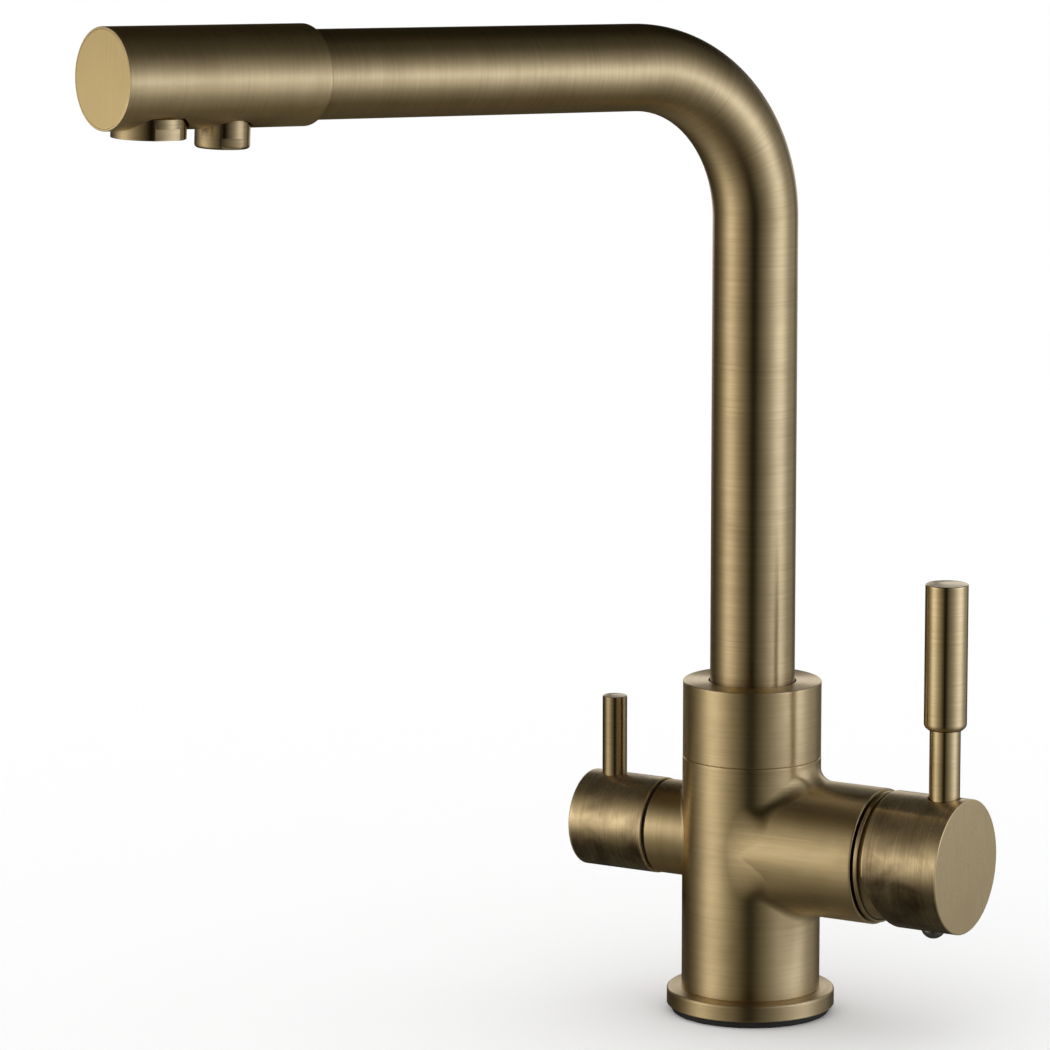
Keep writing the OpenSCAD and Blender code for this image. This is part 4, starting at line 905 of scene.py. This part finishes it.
def collar():
    """The screwed ring round the neck, with a lip that leaves a gap round the spout, its inner
    faces painted near black as the gap's shade.
    """
    low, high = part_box("collar")
    shoulder, step = NECK_TOP + SHOULDER_GAP, high.z - COLLAR_LIP
    neck, mouth = NECK_R + FIT, SPOUT_R + SPOUT_GAP
    corners = [(neck, low.z, EDGE), (high.x, low.z, BODY_EDGE), (high.x, high.z, NECK_EDGE),
               (mouth, high.z, EDGE), (mouth, step, 0), (COLLAR_HOLLOW_R, step, 0),
               (COLLAR_HOLLOW_R, shoulder, 0), (neck, shoulder, 0)]
    line, marks = rounded(corners)
    # Painted shade: the lip's inner faces, in the gap round the spout, go near black
    marks[line[:, 0] < mouth + FIT] = PAINTED_GAP_SHADE
    brush_and_dress(lathe("collar_turned", (line, marks), UPRIGHT), "collar", UPRIGHT, CAST)


def spout_tube():
    """A pipe along the spout's centre line: straight up, round the bend and out to the head. The
    bend's points lie at the bend radius from its centre and turn from upright to the spout's rise.
    A point of the pipe is the line's point plus r cos a to the side and r sin a away from the
    bend's centre."""
    angle = math.pi / 2 - RISE
    bend_z = SPOUT_Z - BEND_R * math.tan(angle / 2)
    rise = np.linspace(SPOUT_FOOT, bend_z, STRAIGHT_ROWS)
    t = np.linspace(0, angle, BEND_ROWS)[1:]
    straight = HEAD_START + TUBE_OVERLAP - FIT - BEND_R * math.tan(angle / 2)
    s = np.linspace(0, straight, STRAIGHT_ROWS)[1:]
    ahead = np.concatenate([0 * rise, BEND_R * (1 - np.cos(t)),
                            BEND_R * (1 - math.cos(angle)) + s * math.sin(angle)])
    height = np.concatenate([rise, bend_z + BEND_R * np.sin(t),
                             bend_z + BEND_R * math.sin(angle) + s * math.cos(angle)])
    lean = np.concatenate([0 * rise, t, 0 * s + angle])
    length = np.concatenate([[0], np.cumsum(np.hypot(np.diff(ahead), np.diff(height)))])
    a = np.arange(ROUND) * TURN / ROUND

    def wall(r):
        """A round row of points of radius r for each point of the line."""
        x = r * np.cos(a) + 0 * lean[:, None]
        side = r * np.sin(a)
        y = -(ahead[:, None] - side * np.cos(lean)[:, None])
        z = height[:, None] + side * np.sin(lean)[:, None]
        return np.stack([x, y, z], -1)

    loop = np.concatenate([wall(SPOUT_R), wall(SPOUT_R - SPOUT_WALL)[::-1]])
    faces = grid_faces(len(loop), ROUND, True)
    points = moved(loop.reshape(-1, 3), Matrix.Rotation(-SWIVEL, 4, "Z"))
    obj = mesh_object("spout_tube_bent", points, [faces])
    along = np.concatenate([length, length[::-1]])[:, None]
    grain = np.stack([SPOUT_R * np.cos(a) + 0 * along, SPOUT_R * np.sin(a) + 0 * along,
                      along + 0 * a], -1).reshape(-1, 3)
    index = read(obj.data.loops, "vertex_index", kind=np.int32)
    first = corner_data(obj.data)[2]
    store_strokes(obj, grain[index], (index % ROUND) / ROUND, grain[index, 2], first)
    dress(obj, "spout_tube", BRASS)


def outlet_head():
    """A turned sleeve with two bosses inside, bored from below for the nozzles."""
    mouth, seat = HEAD_START + TUBE_OVERLAP, HEAD_END - CAP_T - FIT
    corners = [(SPOUT_R + FIT, HEAD_START, EDGE), (HEAD_R, HEAD_START, HEAD_ROUND),
               (HEAD_R, HEAD_END, EDGE), (HEAD_R - CAP_RIM, HEAD_END, 0),
               (HEAD_R - CAP_RIM, seat, 0), (HEAD_HOLLOW, seat, 0), (HEAD_HOLLOW, mouth, 0),
               (SPOUT_R + FIT, mouth, 0)]
    head = lathe("outlet_head_turned", rounded(corners), SPOUT)
    aerator, nozzle = under_spout(AERATOR_AT), under_spout(NOZZLE_AT)
    aerator_spot, nozzle_spot = AERATOR_R + SPOT_GAP, NOZZLE_R + SPOT_GAP
    bosses = [cutter(aerator, aerator_spot + BOSS_WALL, AERATOR_BOSS, HEAD_R),
              cutter(nozzle, nozzle_spot + BOSS_WALL, NOZZLE_BOSS, HEAD_R)]
    for boss in bosses:
        inside = cutter(SPOUT, HEAD_R - BOSS_INSET, HEAD_START, HEAD_END)
        combine(boss, [inside], "INTERSECT")
    combine(head, bosses, "UNION")
    aerator_top, nozzle_top = AERATOR_DROP - AERATOR_H - CRISP, NOZZLE_DROP - NOZZLE_H - CRISP
    # Painted shade: the walls of the spot faces round the nozzles go most of the way to near black
    combine(head, [cutter(aerator, aerator_spot, aerator_top, HEAD_R + OVERRUN, PAINTED_BORE_SHADE),
                   cutter(aerator, AERATOR_ROOT_R + FIT, AERATOR_HOLE, HEAD_R),
                   cutter(nozzle, nozzle_spot, nozzle_top, HEAD_R + OVERRUN, PAINTED_BORE_SHADE),
                   cutter(nozzle, NOZZLE_HOLE_R, NOZZLE_HOLE, HEAD_R),
                   cutter(nozzle, NOZZLE_FEED_R, 0, HEAD_R),
                   cutter(shifted(SPOUT, NOZZLE_AT - PIPE_SEAT), PIPE_SEAT_R, 0, PIPE_SEAT)])
    brush_and_dress(head, "outlet_head", SPOUT, CAST, "upright")


def outlet_end_cap():
    """The disc that closes the head, with a plug behind it."""
    r, plug_r = HEAD_R - CAP_RIM - FIT, HEAD_HOLLOW - FIT
    front, back, plug = HEAD_END, HEAD_END - CAP_T, HEAD_END - CAP_PLUG
    corners = [(0, front, 0), (r, front, CRISP), (r, back, EDGE), (plug_r, back, 0),
               (plug_r, plug, 0), (CAP_HOLLOW_R, plug, 0), (CAP_HOLLOW_R, back, 0), (0, back, 0)]
    obj = lathe("outlet_end_cap_disc", rounded(corners), SPOUT)
    brush_and_dress(obj, "outlet_end_cap", SPOUT, FACE, "upright")


def flats(place, lip, distance, turn=0.0):
    """Two slices beside a nozzle, each as far from its axis as the wrench flat."""
    wide, deep = 20 * MM, 10 * MM
    return [prism(place @ Matrix.Rotation(turn + side, 4, "Z"), (distance, -wide, lip - FLAT_H),
                  (distance + deep, wide, lip + OVERRUN), MILLED) for side in (0, math.pi)]


def aerator_housing():
    """The wide nozzle ring, with a thinner root in the head and two wrench flats."""
    place = under_spout(AERATOR_AT)
    top, lip, step = AERATOR_DROP - AERATOR_H, AERATOR_DROP, AERATOR_DROP - LIP
    corners = [(AERATOR_BORE_R, AERATOR_ROOT, 0), (AERATOR_ROOT_R, AERATOR_ROOT, 0),
               (AERATOR_ROOT_R, top, 0), (AERATOR_R, top, EDGE), (AERATOR_R, lip, EDGE),
               (AERATOR_MOUTH_R, lip, EDGE), (AERATOR_MOUTH_R, step, 0), (AERATOR_BORE_R, step, 0)]
    obj = lathe("aerator_housing_turned", rounded(corners), place)
    combine(obj, flats(place, lip, AERATOR_FLAT))
    brush_and_dress(obj, "aerator_housing", place, SHADED_BRASS)


def filter_nozzle():
    """The narrow nozzle, with a thinner root in the head and two wrench flats."""
    place = under_spout(NOZZLE_AT)
    top, lip, step = NOZZLE_DROP - NOZZLE_H, NOZZLE_DROP, NOZZLE_DROP - LIP
    bore, root = 0.45 * NOZZLE_R, 0.64 * NOZZLE_R
    corners = [(bore, NOZZLE_ROOT, 0), (root, NOZZLE_ROOT, 0), (root, top, 0),
               (NOZZLE_R, top, EDGE), (NOZZLE_R, lip, NOZZLE_ROUND), (bore - LIP, lip, EDGE),
               (bore - LIP, step, 0), (bore, step, 0)]
    obj = lathe("filter_nozzle_turned", rounded(corners), place)
    combine(obj, flats(place, lip, NOZZLE_FLAT, NOZZLE_TURN))
    brush_and_dress(obj, "filter_nozzle", place, SHADED_BRASS)


def cartridge_shroud():
    """Skirt, rim and dome in one turned shell. The dome is part of a ball round the pivot: at angle
    a its point lies r cos a from the arm's axis and r sin a ahead of the pivot."""
    skirt, back = 0.86 * NUT_R, MIXER_X + FIT
    rim, marks = rounded([(skirt, back, 0), (NUT_R, back, 0), (NUT_R, RIM_REAR, 0),
                          (RIM_R, RIM_REAR, EDGE), (RIM_R, RIM_FRONT, EDGE)])
    # Painted shade: the faces inside the rim, down in the groove by the arm, go near black
    marks[rim[:, 0] < RIM_R - 1.6 * EDGE] = PAINTED_GAP_SHADE

    def ball(r, start, end, count):
        """Points of the arc from one angle to another."""
        a = np.linspace(start, end, count)
        return np.stack([r * np.cos(a), PIVOT_X + r * np.sin(a)], -1)

    dome = ball(DOME_R, math.asin((RIM_FRONT - PIVOT_X) / DOME_R),
                math.acos(DOME_MOUTH_R / DOME_R), 60)
    hollow = ball(DOME_HOLLOW_R, math.acos(DOME_MOUTH_R / DOME_HOLLOW_R),
                  math.acos(skirt / DOME_HOLLOW_R), 40)
    marks = np.append(marks, np.zeros(len(dome) + len(hollow)))
    obj = lathe("cartridge_shroud_shell", (np.vstack([rim, dome, hollow]), marks), MIXER)
    brush_and_dress(obj, "cartridge_shroud", MIXER, BRASS)


def painted_shade_below(obj, middle, radius, start):
    """Marks the round side of a piece along X with painted shade on its underside. The mark falls
    smoothly from 0, a share of the radius above the axis, to its lowest half a radius further
    down."""
    layer = obj.data.attributes["edge"].data
    marks = read(layer, "value")
    _, y, z = read(obj.data.vertices, "co", 3).T
    z = z - middle
    side = (marks == 0) & (np.hypot(y, z) > 0.98 * radius)
    shade = SHADED * eased((start * radius - z) / (0.5 * radius))
    layer.foreach_set("value", np.where(side, shade, marks).astype(np.float32))


def ball_cutter(centre, radius):
    """A ball whose profile is a half circle from pole to pole. The hollow that it cuts is
    painted near black as shade.
    """
    a = np.linspace(-math.pi / 2, math.pi / 2, 97)
    line = np.stack([radius * np.cos(a), radius * np.sin(a)], -1)
    line[[0, -1], 0] = 0
    return lathe("cutter", (line, np.full(len(a), PAINTED_GAP_SHADE)), centre)


def handle_cap():
    """A turned cap, hollowed by a ball round the pivot, cut away obliquely underneath, and with the
    square for the spindle, the stem's hole and the screw's hole."""
    end = CAP_X + CAP_LEN
    corners = [(0, CAP_X, 0), (CAP_R, CAP_X, EDGE), (CAP_R, end, EDGE), (0, end, 0)]
    line, marks = rounded(corners)
    marks[(line[:, 1] > end - FIT) & (marks == 0)] = RUBBED
    cap = lathe("handle_cap_turned", (line, marks), MIXER)
    pivot, lever, screw = (standing(x, 0, MIXER_Z) for x in (PIVOT_X, LEVER_X, SCREW_X))
    relief = standing(CAP_X, 0, MIXER_Z - RELIEF_START) @ Matrix.Rotation(-RELIEF_ANGLE, 4, "Y")
    wide, deep, half = 1.5 * CAP_R, 2 * CAP_R, SQUARE_W / 2 + FIT
    # Painted shade: the ball's hollow, the stem's countersink and the screw's recess go near black
    combine(cap, [ball_cutter(pivot, CAVITY_R),
                  prism(relief, (-CAP_LEN, -wide, -deep), (0, wide, 0)),
                  prism(standing(0, 0, MIXER_Z), (PIVOT_X, -half, -half),
                        (SQUARE_END + FIT, half, half)),
                  cutter(lever, STEM_R + FIT, STEM_SEAT, CAP_R + STEM_SEAT),
                  cutter(lever, 1.09 * STEM_R, CAP_R - OVERRUN, CAP_R + STEM_SEAT + OVERRUN,
                         PAINTED_GAP_SHADE),
                  cutter(screw, 0.7 * SCREW_R + FIT, -CAP_R, 0),
                  cutter(screw, 1.08 * SCREW_R, -CAP_R - OVERRUN, -CAP_R + SCREW_H / 2,
                         PAINTED_GAP_SHADE)])
    # Painted shade on the underside of the cap
    painted_shade_below(cap, MIXER_Z, CAP_R, 0.25)
    brush_and_dress(cap, "handle_cap", MIXER, HANDLED, "upright")


def lever_stem():
    """The thin rod between the cap and the grip."""
    low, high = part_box("lever_stem")
    place = standing(LEVER_X)
    obj = solid("lever_stem_rod", place, high.z - low.z, STEM_R, STEM_EDGE, STEM_EDGE, low.z)
    brush_and_dress(obj, "lever_stem", place, LEVER)


def lever_grip():
    """The thick end of the lever, with a blind hole for the stem."""
    low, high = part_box("lever_grip")
    place = standing(LEVER_X)
    bore, socket = STEM_R + FIT, low.z + 0.2 * GRIP_LEN
    corners = [(0, socket, 0), (bore, socket, 0), (bore, low.z, EDGE),
               (GRIP_R, low.z, GRIP_ROUND), (GRIP_R, high.z, EDGE), (0, high.z, 0)]
    obj = lathe("lever_grip_turned", rounded(corners, 10), place)
    brush_and_dress(obj, "lever_grip", place, LEVER)


def filter_hub():
    """A turned hub with a blind hollow for the valve, and holes for spindle, rod and screw."""
    inner, outer = HUB_X, HUB_X + HUB_LEN
    bottom, hollow = HUB_X + 0.38 * HUB_LEN, 0.8 * HUB_R
    corners = [(0, bottom, 0), (hollow, bottom, 0), (hollow, inner, EDGE),
               (HUB_R, inner, BODY_EDGE), (HUB_R, outer, HUB_ROUND), (0, outer, 0)]
    hub = lathe("filter_hub_turned", rounded(corners), FILTER)
    rod, grub = (standing(-x, 0, FILTER_Z) for x in (ROD_X, (bottom + ROD_X - FIT) / 2))
    combine(hub, [cutter(FILTER, SPINDLE_R + FIT, inner, ROD_X),
                  cutter(rod, ROD_R + FIT, 0.35 * HUB_R, 1.35 * HUB_R),
                  cutter(grub, GRUB_HOLE_R, -HUB_R - OVERRUN, 0)])
    # Painted shade on the underside of the hub
    painted_shade_below(hub, FILTER_Z, HUB_R, 0.1)
    brush_and_dress(hub, "filter_hub", FILTER, HANDLED, "upright")


def filter_rod():
    """The rod of the filtered water lever."""
    low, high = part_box("filter_rod")
    place = standing(-ROD_X)
    obj = solid("filter_rod_turned", place, high.z - low.z, ROD_R, EDGE, EDGE, low.z)
    brush_and_dress(obj, "filter_rod", place, SHADED_BRASS)


def filter_gap_ring():
    """The dark ring in the gap between the filter arm and its hub."""
    low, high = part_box("filter_gap_ring")
    inner = RECESS_R + 2 * FIT
    corners = [(inner, -high.x, 0), (high.y, -high.x, CRISP), (high.y, -low.x, CRISP),
               (inner, -low.x, 0)]
    obj = lathe("filter_gap_ring_rubber", rounded(corners), FILTER)
    dress(obj, "filter_gap_ring", RUBBER)


def smoothed_copy(node, material):
    """A small piece whose solid is right already: its loose triangles are joined and smoothed."""
    obj = linked(node + "_fine", frame["nodes"][node].data.copy())
    weld = obj.modifiers.new("weld", "WELD")
    weld.merge_threshold = 0.002 * MM
    graph = bpy.context.evaluated_depsgraph_get()
    obj.data = bpy.data.meshes.new_from_object(obj.evaluated_get(graph))
    obj.modifiers.clear()
    dress(obj, node, material)


for make in (body_casting, base_ring, base_gasket, collar, spout_tube, outlet_head, outlet_end_cap,
             aerator_housing, filter_nozzle, cartridge_shroud, handle_cap, lever_stem, lever_grip,
             filter_hub, filter_rod, filter_gap_ring):
    make()

for name, slot in (("aerator_insert", "white_plastic"), ("filter_nozzle_insert", "white_plastic"),
                   ("handle_screw", "chrome"), ("filter_grub_screw", "steel")):
    smoothed_copy(name, FINISH[slot])

for part in frame["record"]["subparts"]:
    inner = frame["nodes"][part["node"]]
    if not inner.hide_render:
        inner.data.materials.clear()
        inner.data.materials.append(FINISH[part["material_slot"]])


# Camera, where the photograph was taken from

VIEW_AZIMUTH = math.radians(30.776)
VIEW_HEIGHT = math.radians(10.074)
VIEW_FROM = (0.84310, -1.54744, 0.45989)
back = Vector((math.sin(VIEW_AZIMUTH) * math.cos(VIEW_HEIGHT),
               -math.cos(VIEW_AZIMUTH) * math.cos(VIEW_HEIGHT), math.sin(VIEW_HEIGHT)))
camera = linked("camera", bpy.data.cameras.new("camera"))
camera.data.lens = 207.7
camera.data.sensor_width = 36
camera.data.sensor_fit = "HORIZONTAL"
camera.data.clip_start = 0.05
camera.data.clip_end = 50
camera.location = VIEW_FROM
camera.rotation_mode = "QUATERNION"
camera.rotation_quaternion = (-back).to_track_quat("-Z", "Y")
bpy.context.scene.camera = camera


# Studio: a white room, a pale floor, and a tent that shows only as reflections in the metal

def floor():
    """A wide pale floor. The metal shows the tent instead of it."""
    half = 6.0
    points = [(-half, -half, 0), (half, -half, 0), (half, half, 0), (-half, half, 0)]
    mesh = bpy.data.meshes.new("floor")
    mesh.from_pydata(points, [], [(0, 1, 2, 3)])
    obj = linked("floor", mesh)
    material, tree, shader = new_material("pale_floor")
    connect(tree, shader, {"Base Color": (1, 1, 1, 1), "Roughness": 1.0,
                           "Specular IOR Level": 0.0})
    mesh.materials.append(material)
    obj.visible_glossy = False


def bump(x):
    """A soft hump of height 1 with long tails: one over the square of one plus x squared."""
    return 1 / (1 + x * x) ** 2


def tall(x):
    """A narrow hump on a broad one, which is how a softbox fades above and below its middle."""
    return 0.8 * bump(x / 0.55) + 0.35 * bump(x / 1.5)


def ramp(x, start, width):
    """A straight rise from 0 at the start to 1 a width further on, or below it if that is
    negative."""
    return np.clip((x - start) / width, 0, 1)


# The tent: headings and widths in degrees from the camera's, heights in metres, and each softbox
# with its width towards the front and towards the back
TENT_R = 0.7
TENT_TOP = 1.2
LEFT_LEVEL = 1.65
LEFT_AT, LEFT_FRONT, LEFT_BACK = -72, 35, 30
LEFT_Z, LEFT_TALL = 0.14, 0.5
LEFT_TINT = np.array((1.03, 1.0, 0.94))
RIGHT_LEVEL = 1.95
RIGHT_AT, RIGHT_FRONT, RIGHT_BACK = 76, 38, 34
RIGHT_Z, RIGHT_TALL = 0.21, 0.6
RIGHT_TINT = np.array((0.95, 1.0, 1.09))
WEAK_LEVEL, WEAK_AT, WEAK_WIDE = 0.26, 122, 18
GAP_AT, GAP_WIDE, GAP_DEPTH = -4, 14.5, 0.99
STRIP_LEVEL = 0.85
BELOW_LEVEL = 0.07
AMBIENT = 0.006
WARMTH = np.array((0.97, 1.0, 1.1))


def tent():
    """A round tent of soft light, seen only as a reflection in the metal: a wall that goes as far
    below the tap as above it, closed by a flat bottom and roof. Its glow depends on the heading h,
    in degrees to the right of the camera's, and on the height z. Two softboxes, left and right, are
    each a hump round their heading times a tall hump round their middle height. Their lower parts
    reach further to the front, and the right one's upper part stands a little further forward. To
    these come a weak hump further right, a faint light all round and below, and a pale strip
    behind. Towards the camera it is dark. Each colour is raised to a power near 1, so that weaker
    light is warmer."""
    wall = np.linspace(-TENT_TOP, TENT_TOP, 120)
    roof = np.linspace(TENT_R, 0, 12)[1:]
    d = np.concatenate([roof[::-1], 0 * wall + TENT_R, roof])[:, None]
    z = np.concatenate([0 * roof - TENT_TOP, wall, 0 * roof + TENT_TOP])[:, None]
    count = 240
    h = np.linspace(-180, 180, count, endpoint=False)[None]
    a = VIEW_AZIMUTH + np.radians(h)
    points = np.stack([d * np.sin(a), -d * np.cos(a), z + 0 * a], -1)
    low = ramp(z, 0.08, -0.12)
    gap = 1 - GAP_DEPTH * np.exp(-((h - GAP_AT) / GAP_WIDE) ** 2)
    wide = np.where(h > LEFT_AT, LEFT_FRONT + 12 * low, LEFT_BACK)
    left = LEFT_LEVEL * bump((h - LEFT_AT) / wide) * gap * tall((z - LEFT_Z) / LEFT_TALL)
    turn = RIGHT_AT - 10 * ramp(z, 0.12, 0.15)
    wide = np.where(h < turn, RIGHT_FRONT + 12 * low, RIGHT_BACK)
    right = RIGHT_LEVEL * bump((h - turn) / wide) + WEAK_LEVEL * bump((h - WEAK_AT) / WEAK_WIDE)
    right = right * gap * tall((z - RIGHT_Z) / RIGHT_TALL)
    strip = STRIP_LEVEL * ramp(np.abs(h), 140, 15) * ramp(z, 0.1, 0.05) * ramp(z, 0.42, -0.06)
    dim = AMBIENT + BELOW_LEVEL * ramp(z, -0.2, -0.4)
    left, right, strip, dim = (part[..., None] for part in (left, right, strip, dim))
    glow = (left * LEFT_TINT + right * RIGHT_TINT + dim) ** WARMTH + strip
    mesh = bpy.data.meshes.new("tent")
    mesh.from_pydata(points.reshape(-1, 3).tolist(), [],
                     grid_faces(len(d), count, False).tolist())
    layer = mesh.attributes.new("glow", "FLOAT_VECTOR", "POINT")
    layer.data.foreach_set("vector", glow.astype(np.float32).ravel())
    obj = linked("tent", mesh)
    material = bpy.data.materials.new("tent_light")
    material.use_nodes = True
    material.cycles.emission_sampling = "NONE"
    tree = material.node_tree
    tree.nodes.clear()
    level = add_node(tree, "ShaderNodeAttribute", attribute_name="glow")
    light = add_node(tree, "ShaderNodeEmission", {"Color": level.outputs["Vector"],
                                                  "Strength": 1.0})
    add_node(tree, "ShaderNodeOutputMaterial", {"Surface": light.outputs[0]})
    mesh.materials.append(material)
    obj.visible_camera = obj.visible_diffuse = obj.visible_shadow = False
    obj.visible_transmission = obj.visible_volume_scatter = False


floor()
tent()

world = bpy.data.worlds.new("white_room")
world.use_nodes = True
world.node_tree.nodes["Background"].inputs["Color"].default_value = (1, 1, 1, 1)
world.node_tree.nodes["Background"].inputs["Strength"].default_value = 1.0
world.cycles.sampling_method = "NONE"
bpy.context.scene.world = world
bpy.context.scene.view_settings.view_transform = "Standard"
